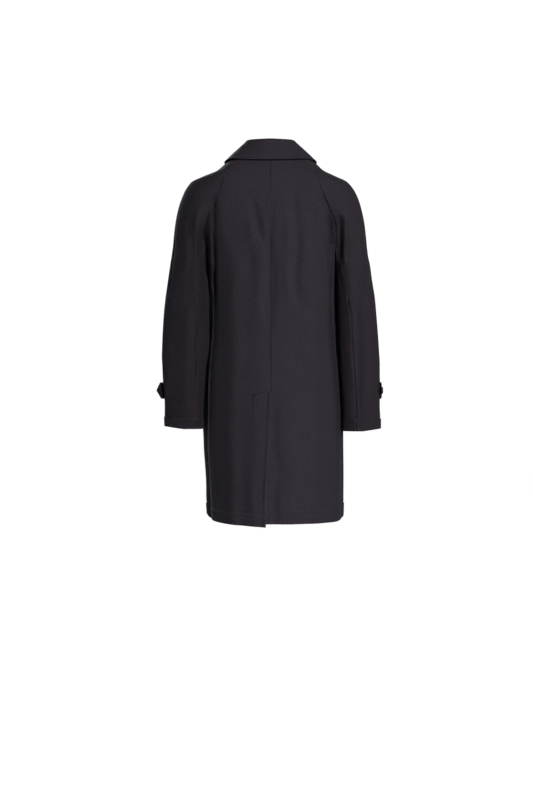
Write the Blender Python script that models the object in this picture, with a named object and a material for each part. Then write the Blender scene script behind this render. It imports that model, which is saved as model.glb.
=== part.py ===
"""Raglan overcoat in its worn form, built from the panels a maker cuts and sews.

Metres, +Z up. The wearer faces -Y and their left is +X. The origin is the middle of the neck opening at the
height of the nape seam. Every panel is a closed wall of cloth: its outer face follows section tables for the
body and the sleeves, and its inner face is that face moved in by the cloth's thickness.
"""

import math

import bmesh
import bpy
import numpy as np
from mathutils import Vector

OBJECT_NAME = "raglan_overcoat"

# Cloth and the air between layers
CLOTH = 0.0025
COLLAR_CLOTH = 0.0036
TAB_CLOTH = 0.0030
SEAM_GAP = 0.0003
LAP_GAP = 0.0008
LAP_DEPTH = CLOTH + LAP_GAP

# Heights of the main construction points
HEM = -0.978
HEM_RISE = 0.005
FRONT_HEM_RISE = 0.007
HEM_RISE_STEEP = 6
HEM_RISE_FROM = -0.860
UNDERARM = -0.275
FORK = -0.255
CUFF = {"left": -0.734, "right": -0.740}
CUFF_TILT = 0.007

# Laps: the left front and the left back half lie on top
FRONT_LAP = 0.043
FRONT_LAP_BLEND = 0.028
FRONT_LAP_FLAT = 0.006
VENT_TOP = -0.636
VENT_LAP_TOP = -0.668
VENT_LAP_BLEND = 0.026
VENT_LAP_FLAT = 0.002
VENT_SWING = 0.013
VENT_DROP = 0.008
VENT_DROP_FROM = -0.80

# Collar: the stand rises from the neck seam, rolls over and falls on the shoulders
STAND_BACK = 0.0270
STAND_FRONT = 0.013
STAND_SIDE_RISE = 0.0042
STAND_LEAN = 0.013
LEAN_BACK_SHARE = 0.2
LEAN_FRONT_SHARE = 0.2
ROLL_RADIUS = 0.0040
FALL_BACK = -0.030
FALL_SIDE = -0.0245
FALL_BULGE = 0.0008
FALL_POINT_DROP = 0.060
FALL_POINT_INSET = 0.42
FALL_CLEAR_BACK = 0.0070
FALL_CLEAR_FRONT = 0.0060
COLLAR_BACK_SHARE = 0.30
COLLAR_SHOULDER_SHARE = 0.60

# Cuff tabs: a strap from the front sleeve seam that ends in a free point behind the outer edge
TAB_TOP = -0.612
TAB_LOW = -0.654
TAB_POINT = 0.026
TAB_FREE = 0.048
TAB_FREE_STEP = 0.0075
TAB_TIP_SHARE = 0.08
TAB_COLUMNS = {"left": 5, "right": 6}
TAB_BUTTON_FROM_POINT = 0.026

# Buttons
BUTTON_RADIUS = {"front": 0.0115, "cuff": 0.0085}
BUTTON_THICK = {"front": 0.0042, "cuff": 0.0034}
BUTTON_EDGE = 0.0010
BUTTON_SEAT = 0.0004
FRONT_BUTTON_LEVELS = (-0.175, -0.300, -0.425, -0.550)

# Grid sizes of the faceted cloth
BODY_STEPS = (0.0, 0.075, 0.15, 0.26, 0.38, 0.51, 0.64, 0.77, 0.89, 1.0)
LAP_STEPS = (0.15, 0.075)
SLEEVE_COLUMNS = 12
COLLAR_FALL_STEPS = 3

SIGN = {"left": 1.0, "right": -1.0}
ELLIPSE_FULLNESS = 0.5523
LEAST_TURN = 2.6
ARMHOLE_ROUND = 1.4

# Agreement of two panels' normals at a seam: below the first they are folded, above the second they run on
SEAM_FOLDED = 0.35
SEAM_SMOOTH = 0.75
# How squarely a face must look back or forward for a fold to start and to be full
FOLD_FACING_START = 0.15
FOLD_FACING_FULL = 0.60

# Body below the underarm. The arms press the left side in more than the right. fullness squares the corners,
# and wrap is how far past square, in degrees, the front swells before it turns in to the side seam.
SKIRT = (
    ("level", "left_x", "right_x", "back_y", "front_y", "side_y", "fullness", "left_wrap", "right_wrap"),
    (
        (-0.275, 0.1700, 0.1700, 0.1285, -0.140, 0.018, 0.70, 0.0, 0.0),
        (-0.287, 0.1690, 0.1695, 0.1289, -0.1415, 0.0175, 0.705, 14.0, 13.0),
        (-0.300, 0.1670, 0.1690, 0.1293, -0.143, 0.017, 0.71, 22.0, 20.0),
        (-0.340, 0.1595, 0.1670, 0.1300, -0.147, 0.014, 0.71, 31.0, 26.0),
        (-0.391, 0.1525, 0.1665, 0.1297, -0.150, 0.010, 0.70, 36.0, 29.0),
        (-0.450, 0.1520, 0.1685, 0.1290, -0.152, 0.006, 0.69, 38.0, 30.0),
        (-0.520, 0.1565, 0.1730, 0.1295, -0.153, 0.002, 0.67, 38.0, 30.0),
        (-0.600, 0.1630, 0.1800, 0.1325, -0.155, 0.000, 0.63, 45.0, 29.0),
        (-0.680, 0.1660, 0.1850, 0.1380, -0.157, 0.000, 0.60, 46.0, 29.0),
        (-0.770, 0.1670, 0.1875, 0.1460, -0.160, 0.000, 0.58, 35.0, 25.0),
        (-0.870, 0.1620, 0.1880, 0.1550, -0.163, 0.000, 0.57, 32.0, 25.0),
        (-0.930, 0.1590, 0.1880, 0.1600, -0.165, 0.000, 0.56, 36.0, 26.0),
        (-0.990, 0.1545, 0.1865, 0.1650, -0.166, 0.000, 0.56, 38.0, 26.0),
    ),
)

# Body above the underarm. front_drop lowers the row at centre front, front_dip at the front raglan seam.
# The turns are the body's heading in degrees where a row meets its raglan seam.
YOKE = (
    ("level", "back_y", "front_y", "front_drop", "front_dip", "back_turn", "front_turn", "fullness"),
    (
        (0.000, 0.0620, -0.075, 0.0820, 0.016, 62.0, 60.0, 0.55),
        (-0.030, 0.0800, -0.086, 0.0750, 0.012, 22.0, 42.0, 0.48),
        (-0.050, 0.0905, -0.093, 0.0700, 0.008, 14.0, 36.0, 0.45),
        (-0.066, 0.0970, -0.099, 0.0650, 0.005, 9.0, 32.0, 0.45),
        (-0.080, 0.1020, -0.103, 0.0610, 0.003, 9.0, 30.0, 0.45),
        (-0.100, 0.1080, -0.110, 0.0560, 0.000, 11.0, 32.0, 0.46),
        (-0.125, 0.1140, -0.117, 0.0480, 0.000, 16.0, 40.0, 0.48),
        (-0.152, 0.1190, -0.123, 0.0400, 0.000, 26.0, 50.0, 0.50),
        (-0.188, 0.1240, -0.130, 0.0290, 0.000, 44.0, 62.0, 0.54),
        (-0.227, 0.1270, -0.135, 0.0170, 0.000, 64.0, 76.0, 0.625),
        (-0.255, 0.1280, -0.138, 0.0070, 0.000, 80.0, 85.0, 0.66),
        (-0.275, 0.1285, -0.140, 0.0000, 0.000, 90.0, 90.0, 0.70),
    ),
)

# Sleeves as elliptic sections, neck to cuff. Angle 0 is the outer side and 90 degrees the back. Above the
# fork the rear and front angles are the raglan seams, below it they are the two sleeve seams.
ARM = (
    (
        "level", "left_centre", "left_width", "right_centre", "right_width", "centre_y", "depth",
        "left_rear", "right_rear", "front",
    ),
    (
        (0.000, 0.0180, 0.0540, 0.0180, 0.0540, 0.000, 0.066, 26.0, 26.0, -28.0),
        (-0.030, 0.0580, 0.0640, 0.0580, 0.0640, 0.012, 0.0765, 49.6, 49.6, -46.6),
        (-0.050, 0.0750, 0.0690, 0.0750, 0.0670, 0.014, 0.085, 58.2, 58.2, -53.5),
        (-0.066, 0.0950, 0.0850, 0.0950, 0.0795, 0.015, 0.083, 73.1, 73.1, -65.0),
        (-0.080, 0.1070, 0.1030, 0.1070, 0.0970, 0.016, 0.086, 80.0, 80.0, -72.0),
        (-0.100, 0.1180, 0.1060, 0.1180, 0.1020, 0.017, 0.088, 84.0, 84.0, -80.0),
        (-0.125, 0.1400, 0.0956, 0.1400, 0.0922, 0.018, 0.088, 91.0, 91.0, -88.0),
        (-0.152, 0.1680, 0.0765, 0.1670, 0.0740, 0.018, 0.084, 103.0, 103.0, -100.0),
        (-0.188, 0.1960, 0.0555, 0.1945, 0.0540, 0.018, 0.077, 121.0, 121.0, -118.0),
        (-0.227, 0.2100, 0.0465, 0.2085, 0.0450, 0.018, 0.071, 141.0, 141.0, -139.0),
        (-0.255, 0.2140, 0.0450, 0.2130, 0.0435, 0.018, 0.069, 160.0, 160.0, -160.0),
        (-0.275, 0.2165, 0.0450, 0.2155, 0.0435, 0.019, 0.068, 145.0, 146.0, -146.0),
        (-0.297, 0.2185, 0.0465, 0.2180, 0.0445, 0.020, 0.067, 134.0, 135.0, -136.0),
        (-0.340, 0.2190, 0.0520, 0.2210, 0.0465, 0.021, 0.065, 126.0, 121.0, -130.0),
        (-0.391, 0.2205, 0.0565, 0.2245, 0.0490, 0.022, 0.063, 121.0, 114.0, -128.0),
        (-0.444, 0.2225, 0.0595, 0.2278, 0.0497, 0.022, 0.061, 119.0, 111.0, -128.0),
        (-0.508, 0.2240, 0.0615, 0.2315, 0.0510, 0.021, 0.058, 120.0, 112.0, -128.0),
        (-0.593, 0.2302, 0.0568, 0.2365, 0.0510, 0.020, 0.055, 127.0, 111.0, -128.0),
        (-0.657, 0.2300, 0.0530, 0.2393, 0.0492, 0.019, 0.053, 130.0, 110.0, -128.0),
        (-0.745, 0.2298, 0.0492, 0.2410, 0.0485, 0.018, 0.051, 132.0, 110.0, -128.0),
    ),
)

# The largest folds, as soft ridges (+) and troughs (-) between two places seen square on from behind
FOLDS = (
    ("side", "x_top", "z_top", "x_low", "z_low", "half_width", "height"),
    (
        (1, 0.048, -0.150, 0.022, -0.235, 0.013, -0.0040),
        (1, -0.010, -0.120, -0.012, -0.440, 0.011, -0.0025),
        (1, -0.040, -0.130, -0.042, -0.440, 0.016, 0.0035),
        (1, -0.072, -0.110, -0.070, -0.290, 0.013, -0.0040),
        (1, -0.126, -0.150, -0.132, -0.300, 0.011, 0.0050),
        (1, 0.124, -0.130, 0.128, -0.300, 0.013, 0.0045),
        (1, 0.086, -0.160, 0.078, -0.420, 0.018, -0.0035),
        (1, 0.194, -0.195, 0.196, -0.250, 0.012, 0.0040),
        (1, -0.194, -0.195, -0.196, -0.245, 0.012, 0.0040),
        (1, 0.120, -0.660, 0.140, -0.990, 0.022, 0.0045),
        (1, -0.135, -0.660, -0.150, -0.990, 0.022, 0.0045),
        (1, 0.250, -0.440, 0.232, -0.500, 0.014, -0.0035),
        (-1, 0.095, -0.320, 0.100, -0.990, 0.022, 0.0050),
        (-1, -0.100, -0.360, -0.105, -0.990, 0.022, 0.0050),
        (-1, 0.060, -0.230, 0.085, -0.420, 0.016, -0.0040),
        (-1, -0.105, -0.200, -0.090, -0.380, 0.016, -0.0040),
        (-1, 0.240, -0.420, 0.215, -0.470, 0.014, -0.0040),
        (-1, -0.245, -0.410, -0.222, -0.465, 0.014, -0.0040),
    ),
)

# Rows of the panels, from the hem up and from the neck down
SKIRT_LEVELS = (
    HEM, -0.920, -0.860, -0.795, -0.730, VENT_LAP_TOP, VENT_TOP,
    -0.570, -0.505, -0.445, -0.390, -0.340, -0.302,
)
ARMHOLE_LEVELS = (UNDERARM, -0.268, -0.261)
YOKE_LEVELS = (FORK, -0.222, -0.186, -0.152, -0.120, -0.092, -0.070, -0.050, -0.028, 0.0)
ARM_LEVELS = (-0.275, -0.297, -0.335, -0.380, -0.425, -0.470, -0.520, -0.568, TAB_TOP, TAB_LOW, -0.695)
UNDER_SAG = {-0.275: 0.012, -0.297: 0.005}

# Colours
NAVY_WOOL = (0.020, 0.018, 0.025, 1.0)
DARK_HORN = (0.030, 0.024, 0.022, 1.0)


def read(table, name, level):
    """A table column at a level, by a cubic that never overshoots the rows."""
    columns, rows = table
    data = np.array(sorted(rows))
    levels = data[:, 0]
    values = data[:, columns.index(name)]
    steps = np.diff(levels)
    slopes = np.diff(values) / steps
    tangents = np.concatenate(([slopes[0]], np.zeros(len(slopes) - 1), [slopes[-1]]))
    for row in range(1, len(slopes)):
        before, after = slopes[row - 1], slopes[row]
        if before * after > 0:
            heavy = 2 * steps[row] + steps[row - 1]
            light = steps[row] + 2 * steps[row - 1]
            tangents[row] = (heavy + light) / (heavy / before + light / after)
    row = int(np.clip(np.searchsorted(levels, level) - 1, 0, len(steps) - 1))
    t = np.clip((level - levels[row]) / steps[row], 0.0, 1.0)
    rise = values[row + 1] - values[row]
    start, end = tangents[row] * steps[row], tangents[row + 1] * steps[row]
    return values[row] + t * (start + t * (3 * rise - 2 * start - end + t * (start + end - 2 * rise)))


def ease(value, low, high):
    """Smooth step from 0 at low to 1 at high."""
    t = np.clip((value - low) / (high - low), 0.0, 1.0)
    return t * t * (3 - 2 * t)


def unit(vectors):
    """Vectors scaled to length one."""
    return vectors / np.maximum(np.linalg.norm(vectors, axis=-1, keepdims=True), 1e-12)


def bezier(p0, p1, p2, p3, t):
    """Points of a cubic curve at the values t."""
    t = np.asarray(t)[:, None]
    return (1 - t) ** 3 * p0 + 3 * (1 - t) ** 2 * t * p1 + 3 * (1 - t) * t ** 2 * p2 + t ** 3 * p3


def arm_points(side, level, angles):
    """Points of a sleeve section at angles in degrees."""
    angles = np.radians(np.asarray(angles, dtype=float))
    x = read(ARM, side + "_centre", level) + read(ARM, side + "_width", level) * np.cos(angles)
    y = read(ARM, "centre_y", level) + read(ARM, "depth", level) * np.sin(angles)
    z = level - read(YOKE, "front_dip", max(level, UNDERARM)) * (1 - np.sin(angles)) / 2
    z = z + CUFF_TILT * ease(-level, -TAB_LOW, -CUFF[side]) * np.maximum(np.cos(angles), 0.0)
    return np.stack((SIGN[side] * x, y, z), axis=-1)


def seam_angles(side, level):
    """Rear and front seam angles of a sleeve section."""
    return read(ARM, side + "_rear", level), read(ARM, "front", level)


def side_point(side, level):
    """Point of the side seam."""
    return np.array((SIGN[side] * read(SKIRT, side + "_x", level), read(SKIRT, "side_y", level), level))


def armhole_point(side, level, face):
    """Point of the raglan seam on the back (+1) or the front (-1)."""
    if level >= FORK:
        rear, front = seam_angles(side, level)
        return arm_points(side, level, [rear if face > 0 else front])[0]
    down = (FORK - level) / (FORK - UNDERARM)
    top = armhole_point(side, FORK, face)
    underarm = side_point(side, UNDERARM)
    return top + (underarm - top) * np.array((math.sin(down * math.pi / 2), down ** ARMHOLE_ROUND, down))


def body_row(side, face, level, steps):
    """Points of the back (+1) or front (-1) from the centre (0) to the side (1)."""
    sign = SIGN[side]
    name = "back" if face > 0 else "front"
    if level < UNDERARM:
        depth = read(SKIRT, name + "_y", level)
        end = side_point(side, level)
        turn, drop, fullness = 90.0, 0.0, read(SKIRT, "fullness", level)
        wrap = 0.0 if face > 0 else read(SKIRT, side + "_wrap", level)
    else:
        depth = read(YOKE, name + "_y", level)
        end = armhole_point(side, level, face)
        turn, fullness = read(YOKE, name + "_turn", level), read(YOKE, "fullness", level)
        drop = 0.0 if face > 0 else read(YOKE, "front_drop", level)
        wrap = 0.0
    start = np.array((0.0, depth, level - drop))
    first, last = row_handles(abs(end[0]), abs(end[1] - depth), math.radians(turn), fullness)
    turn = math.radians(turn + wrap)
    slope = end[2] - start[2]
    heading = np.array((sign * math.cos(turn), -face * math.sin(turn), slope * math.cos(turn)))
    return bezier(start, start + np.array((sign * first, 0.0, 0.0)), end - last * heading, end, steps)


def row_handles(across, inward, turn, fullness):
    """Lengths of a row's two curve handles, as for an arc of an ellipse that ends at the given turn."""
    cut_cosine = 1 / (max(math.tan(turn) * across / inward, LEAST_TURN) - 1)
    cut = math.acos(cut_cosine)
    half_width, half_depth = across / math.sin(cut), inward / (1 - cut_cosine)
    share = fullness / ELLIPSE_FULLNESS * 4 / 3 * math.tan(cut / 4)
    return share * half_width, share * math.hypot(half_width * cut_cosine, half_depth * math.sin(cut))


def hem_rise(face):
    """How far the hem rises over a row: towards the side seam, and on the front most just before it."""
    near_seam = np.array(BODY_STEPS) ** HEM_RISE_STEEP
    front_rise = 0.0 if face > 0 else FRONT_HEM_RISE
    return HEM_RISE * near_seam + 4 * front_rise * near_seam * (1 - near_seam)


def body_grid(side, face, lap_steps):
    """Rows from hem to neck of one half of the back or front, with a lap that follows the other half."""
    other = "right" if side == "left" else "left"
    rows = []
    for level in SKIRT_LEVELS + ARMHOLE_LEVELS + YOKE_LEVELS:
        half = body_row(side, face, level, BODY_STEPS)
        half[:, 2] += hem_rise(face) * ease(-level, -HEM_RISE_FROM, -HEM)
        lap = body_row(other, face, level, lap_steps)
        rows.append(np.concatenate((lap, half)))
    return np.array(rows)


def body_levels():
    """Levels of the body rows as a column."""
    return np.array(SKIRT_LEVELS + ARMHOLE_LEVELS + YOKE_LEVELS)[:, None]


def upper_sleeve_grid(side):
    """Rows from neck to cuff, columns from the rear seam over the outer side to the front seam."""
    rows = []
    for level in tuple(reversed(YOKE_LEVELS)) + ARM_LEVELS + (CUFF[side],):
        rear, front = seam_angles(side, level)
        rows.append(arm_points(side, level, np.linspace(rear, front, SLEEVE_COLUMNS + 1)))
    return np.array(rows)


def under_sleeve_grid(side):
    """Rows from the armhole's lower edge to the cuff, columns from the rear seam inside to the front seam."""
    armhole = (FORK,) + tuple(reversed(ARMHOLE_LEVELS))
    behind = [armhole_point(side, level, 1) for level in armhole]
    before = [armhole_point(side, level, -1) for level in reversed(armhole[:-1])]
    rows = [np.array(behind + before)]
    for level in ARM_LEVELS + (CUFF[side],):
        rear, front = seam_angles(side, level)
        angles = np.linspace(rear, 360 + front, 2 * len(armhole) - 1)
        row = arm_points(side, level, angles)
        row[:, 2] -= UNDER_SAG.get(level, 0.0) * np.sin(np.linspace(0, math.pi, len(angles)))
        rows.append(row)
    return np.array(rows)


def grid_normals(grid, turn):
    """Outward normals of a grid of points."""
    down = np.gradient(grid, axis=0)
    along = np.gradient(grid, axis=1)
    return turn * unit(np.cross(down, along))


def fold_height(points, normals):
    """How far the largest folds move each point out."""
    height = np.zeros(points.shape[:-1])
    for side, x_top, z_top, x_low, z_low, half_width, size in FOLDS[1]:
        top = np.array((x_top, z_top))
        run = np.array((x_low, z_low)) - top
        flat = points[..., (0, 2)] - top
        along = np.clip(flat @ run / (run @ run), 0.0, 1.0)
        away = np.linalg.norm(flat - along[..., None] * run, axis=-1)
        facing = ease(side * normals[..., 1], FOLD_FACING_START, FOLD_FACING_FULL)
        height += size * np.exp(-(away / half_width) ** 2) * facing
    return height


def place_key(point):
    """Key that two panels share at a seam point."""
    return tuple(np.round(point * 1e5).astype(int))


def shared_normals(panels):
    """Normals of each panel, turned to the seam's mean where two panels run on smoothly."""
    sums = {}
    for panel in panels.values():
        panel["own"] = grid_normals(panel["grid"], panel["turn"])
        for point, normal in zip(panel["grid"].reshape(-1, 3), panel["own"].reshape(-1, 3)):
            key = place_key(point)
            sums[key] = sums.get(key, 0.0) + normal
    for panel in panels.values():
        mean = [sums[place_key(point)] for point in panel["grid"].reshape(-1, 3)]
        mean = unit(np.array(mean)).reshape(panel["grid"].shape)
        smooth = ease(np.sum(mean * panel["own"], axis=-1), SEAM_FOLDED, SEAM_SMOOTH)[..., None]
        panel["smooth"] = smooth
        panel["normal"] = unit(panel["own"] * (1 - smooth) + mean * smooth)


def coat_panels():
    """Outer grids of the eight cloth panels, with the folds and laps in them."""
    panels = {}
    for side, sign in SIGN.items():
        for face, name in ((1, "back_"), (-1, "front_")):
            lap_steps = () if name + side == "back_left" else LAP_STEPS
            panels[name + side] = {"grid": body_grid(side, face, lap_steps), "turn": sign * face}
        panels["sleeve_upper_" + side] = {"grid": upper_sleeve_grid(side), "turn": -sign}
        panels["sleeve_under_" + side] = {"grid": under_sleeve_grid(side), "turn": sign}
    shared_normals(panels)
    for panel in panels.values():
        height = fold_height(panel["grid"], panel["normal"])
        panel["grid"] = panel["grid"] + panel["normal"] * height[..., None]
    shared_normals(panels)
    lay_vent(panels["back_left"], panels["back_right"])
    lay_front(panels["front_right"])
    return panels


def lay_vent(over, under):
    """Open the vent: the left edge swings aside and drops, the right half passes under it."""
    open_share = ease(body_levels(), VENT_TOP, HEM)
    steps = np.array(BODY_STEPS)[None, :]
    over["grid"][..., 0] += VENT_SWING * open_share * (1 - steps) ** 3
    over["grid"][..., 2] -= VENT_DROP * ease(body_levels(), VENT_DROP_FROM, HEM) * (1 - steps) ** 2
    from_centre = under["grid"][..., 0] - under["grid"][:, len(LAP_STEPS), None, 0]
    depth = ease(from_centre, -VENT_LAP_BLEND, -VENT_LAP_FLAT) * ease(body_levels(), VENT_TOP, VENT_LAP_TOP)
    under["grid"] = under["grid"] - under["normal"] * (LAP_DEPTH * depth)[..., None]
    keep = every_cell(under["grid"])
    keep[body_levels()[1:, 0] > VENT_LAP_TOP, :len(LAP_STEPS)] = False
    under["keep"] = keep


def lay_front(under):
    """Sink the right front under the left front's lap."""
    from_centre = under["grid"][..., 0] - under["grid"][:, len(LAP_STEPS), None, 0]
    depth = ease(from_centre, -FRONT_LAP - FRONT_LAP_BLEND, -FRONT_LAP - FRONT_LAP_FLAT)
    under["grid"] = under["grid"] - under["normal"] * (LAP_DEPTH * depth)[..., None]


def every_cell(grid):
    """A mask that keeps all cells of a grid."""
    return np.ones((grid.shape[0] - 1, grid.shape[1] - 1), dtype=bool)


def pulled_back(grid, keep):
    """The grid with its free edges drawn in by half a seam gap."""
    cells = np.pad(keep, 1)
    result = grid.copy()
    for row in range(grid.shape[0]):
        for column in range(grid.shape[1]):
            around = cells[row:row + 2, column:column + 2]
            if not around.any():
                continue
            steps = []
            if not around[:, 0].any():
                steps.append((0, 1))
            if not around[:, 1].any():
                steps.append((0, -1))
            if not around[0].any():
                steps.append((1, 0))
            if not around[1].any():
                steps.append((-1, 0))
            for down, along in steps:
                inside = grid[row + down, column + along] - grid[row, column]
                result[row, column] += SEAM_GAP / 2 * unit(inside)
    return result


def shell_object(name, outer, inner, keep, material):
    """A closed wall between an outer and an inner grid, over the kept cells."""
    mesh = bpy.data.meshes.new(name)
    bm = bmesh.new()
    place = bm.verts.layers.int.new("place")
    verts = {}
    width = outer.shape[1]
    for row, column in zip(*np.nonzero(keep)):
        corners = []
        for down, along in ((0, 0), (0, 1), (1, 1), (1, 0)):
            index = int((row + down) * width + column + along)
            if index not in verts:
                verts[index] = bm.verts.new(outer.reshape(-1, 3)[index])
                verts[index][place] = index
            corners.append(verts[index])
        bm.faces.new(corners)
    result = bmesh.ops.extrude_face_region(bm, geom=bm.faces[:], use_keep_orig=True)
    for item in result["geom"]:
        if isinstance(item, bmesh.types.BMVert):
            item.co = inner.reshape(-1, 3)[item[place]]
    bmesh.ops.recalc_face_normals(bm, faces=bm.faces[:])
    bm.verts.layers.int.remove(place)
    bm.to_mesh(mesh)
    bm.free()
    return add_object(name, mesh, material)


def add_object(name, mesh, material):
    """Link a mesh as a named part with its material."""
    part = bpy.data.objects.new(name, mesh)
    mesh.materials.append(material)
    bpy.data.collections[OBJECT_NAME].objects.link(part)
    return part


def make_material(name, colour, roughness):
    """A plain Principled material."""
    material = bpy.data.materials.new(name)
    material.use_nodes = True
    shader = material.node_tree.nodes["Principled BSDF"]
    shader.inputs["Base Color"].default_value = colour
    shader.inputs["Roughness"].default_value = roughness
    return material


def make_panels(panels, wool):
    """One solid for each cloth panel."""
    for name, panel in panels.items():
        keep = panel.get("keep", every_cell(panel["grid"]))
        outer = pulled_back(panel["grid"], keep)
        outer = outer - panel["own"] * (1 - panel["smooth"]) * SEAM_GAP / 2
        inner = outer - panel["normal"] * CLOTH
        shell_object(name, outer, inner, keep, wool)


def collar_half(side):
    """Neck seam points, fall edge points and distance share (0 back, 1 front end) of half the collar."""
    neck, edge, share = [], [], []
    back_steps = np.array(BODY_STEPS)
    neck.extend(body_row(side, 1, 0.0, back_steps))
    for place in back_steps:
        edge.extend(body_row(side, 1, FALL_BACK + (FALL_SIDE - FALL_BACK) * place ** 3, [place]))
    share.extend(COLLAR_BACK_SHARE * back_steps)
    rear, front = seam_angles(side, 0.0)
    low_rear, low_front = seam_angles(side, FALL_SIDE)
    arc_steps = np.linspace(0, 1, SLEEVE_COLUMNS // 2 + 1)[1:]
    neck.extend(arm_points(side, 0.0, rear + (front - rear) * arc_steps))
    edge.extend(arm_points(side, FALL_SIDE, low_rear + (low_front - low_rear) * arc_steps))
    share.extend(COLLAR_BACK_SHARE + (COLLAR_SHOULDER_SHARE - COLLAR_BACK_SHARE) * arc_steps)
    end = BODY_STEPS[1]
    for place in reversed(BODY_STEPS[1:-1]):
        step = (1 - place) / (1 - end)
        neck.extend(body_row(side, -1, 0.0, [place]))
        edge.extend(body_row(side, -1, FALL_SIDE - FALL_POINT_DROP * step, [1 - FALL_POINT_INSET * step]))
        share.append(COLLAR_SHOULDER_SHARE + (1 - COLLAR_SHOULDER_SHARE) * step)
    return neck, edge, share


def collar_section(stand, lean, reach, fall):
    """Centre line of the folded collar as (out, up) from the neck seam, and its outward unit normals."""
    points = [(0.0, SEAM_GAP), (-0.6 * lean, 0.5 * stand), (-lean, stand - ROLL_RADIUS)]
    for angle in (135.0, 90.0, 40.0):
        turn = math.radians(angle)
        across, up = ROLL_RADIUS * (1 + math.cos(turn)), ROLL_RADIUS * (1 - math.sin(turn))
        points.append((across - lean, stand - up))
    start = np.array(points[-1])
    for step in np.linspace(0, 1, COLLAR_FALL_STEPS + 1)[1:]:
        bulge = FALL_BULGE * math.sin(math.pi * step)
        points.append(tuple(start + (np.array((reach, fall)) - start) * step + np.array((bulge, bulge))))
    line = np.array(points)
    ahead = unit(np.gradient(line, axis=0))
    return line, np.stack((-ahead[:, 1], ahead[:, 0]), axis=-1)


def make_collar(wool):
    """The collar: stand and fall folded from one piece, both halves joined at the centre back."""
    halves = [collar_half(side) for side in ("left", "right")]
    neck, edge, share = [
        np.array(list(reversed(halves[0][item])) + list(halves[1][item][1:])) for item in range(3)
    ]
    out = unit((edge - neck) * np.array((1.0, 1.0, 0.0)))
    lift = unit(np.cross(edge - neck, np.gradient(edge, axis=0)))
    clear = FALL_CLEAR_BACK + (FALL_CLEAR_FRONT - FALL_CLEAR_BACK) * ease(share, 0.2, 0.9)
    edge = edge + lift * clear[:, None]
    outer, inner = [], []
    for column, front_share in enumerate(share):
        stand = STAND_BACK + STAND_SIDE_RISE * ease(front_share, 0.05, 0.28)
        stand = stand + (STAND_FRONT - stand) * ease(front_share, 0.35, 1.0)
        lean = STAND_LEAN * (LEAN_BACK_SHARE + (1 - LEAN_BACK_SHARE) * ease(front_share, 0.05, 0.35))
        lean = lean * (1 - (1 - LEAN_FRONT_SHARE) * ease(front_share, COLLAR_SHOULDER_SHARE, 1.0))
        reach = (edge[column] - neck[column]) @ out[column]
        fall = edge[column][2] - neck[column][2]
        line, side_way = collar_section(stand, lean, reach, fall)
        for target, offset in ((outer, COLLAR_CLOTH / 2), (inner, -COLLAR_CLOTH / 2)):
            section = line + side_way * offset
            section[0, 1] = max(section[0, 1], SEAM_GAP)
            across, up = section[:, :1] * out[column], section[:, 1:] * np.array((0.0, 0.0, 1.0))
            target.append(neck[column] + across + up)
    shell_object("collar", np.array(outer), np.array(inner), every_cell(np.array(outer)), wool)


def make_tab(side, panel, wool, horn):
    """A cuff tab laid on the upper sleeve's points, with a free pointed end, and its button."""
    row = len(YOKE_LEVELS) + ARM_LEVELS.index(TAB_TOP)
    lay = [panel[item][row:row + 2, :-TAB_COLUMNS[side] - 2:-1] for item in ("grid", "normal")]
    shares = np.linspace(0, 1, 5)[:, None, None]
    base, normals = [top * (1 - shares) + low * shares for top, low in lay]
    level_normal = unit(normals[2, -1] * np.array((1.0, 1.0, 0.0)))
    heading = SIGN[side] * np.array((-level_normal[1], level_normal[0], 0.0))
    leave = SIGN[side] * unit(np.cross(heading, base[0, -1] - base[-1, -1]))
    runs = np.array((TAB_FREE_STEP, 2 * TAB_FREE_STEP, TAB_FREE - TAB_POINT, TAB_FREE))
    free = base[:, -1:] + heading * runs[:, None]
    middle = free[2, -1]
    free[:, -1] = middle + (free[:, -1] - middle) * TAB_TIP_SHARE
    base = np.concatenate((base, free), axis=1)
    normals = np.concatenate((unit(normals), np.broadcast_to(leave, free.shape)), axis=1)
    inner = base + normals * SEAM_GAP
    outer = base + normals * (SEAM_GAP + TAB_CLOTH)
    shell_object("cuff_tab_" + side, outer, inner, every_cell(base), wool)
    seat = outer[2, -1] - heading * TAB_BUTTON_FROM_POINT
    make_button("cuff_button_" + side, "cuff", seat, leave, horn)


def make_button(name, kind, seat, normal, horn):
    """A plain turned button on a seat."""
    thick = BUTTON_THICK[kind]
    mesh = bpy.data.meshes.new(name)
    bm = bmesh.new()
    radius = BUTTON_RADIUS[kind]
    bmesh.ops.create_cone(bm, cap_ends=True, segments=20, radius1=radius, radius2=radius, depth=thick)
    rims = [edge for edge in bm.edges if abs(edge.verts[0].co.z - edge.verts[1].co.z) < BUTTON_EDGE]
    bmesh.ops.bevel(bm, geom=rims, offset=BUTTON_EDGE, segments=1, affect="EDGES")
    bm.to_mesh(mesh)
    bm.free()
    button = add_object(name, mesh, horn)
    button.rotation_mode = "QUATERNION"
    button.rotation_quaternion = Vector(normal).to_track_quat("Z", "Y")
    button.location = Vector(seat + normal * (BUTTON_SEAT + thick / 2))


def make_front_buttons(panel, horn):
    """Buttons down the centre front, seated on the left front."""
    middle = panel["grid"][:, len(LAP_STEPS)]
    normals = panel["normal"][:, len(LAP_STEPS)]
    for number, level in enumerate(FRONT_BUTTON_LEVELS, start=1):
        order = np.argsort(middle[:, 2])
        heights = middle[order, 2]
        seat = np.array([np.interp(level, heights, middle[order, axis]) for axis in range(3)])
        normal = np.array([np.interp(level, heights, normals[order, axis]) for axis in range(3)])
        make_button("front_button_" + str(number), "front", seat, unit(normal), horn)


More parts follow.
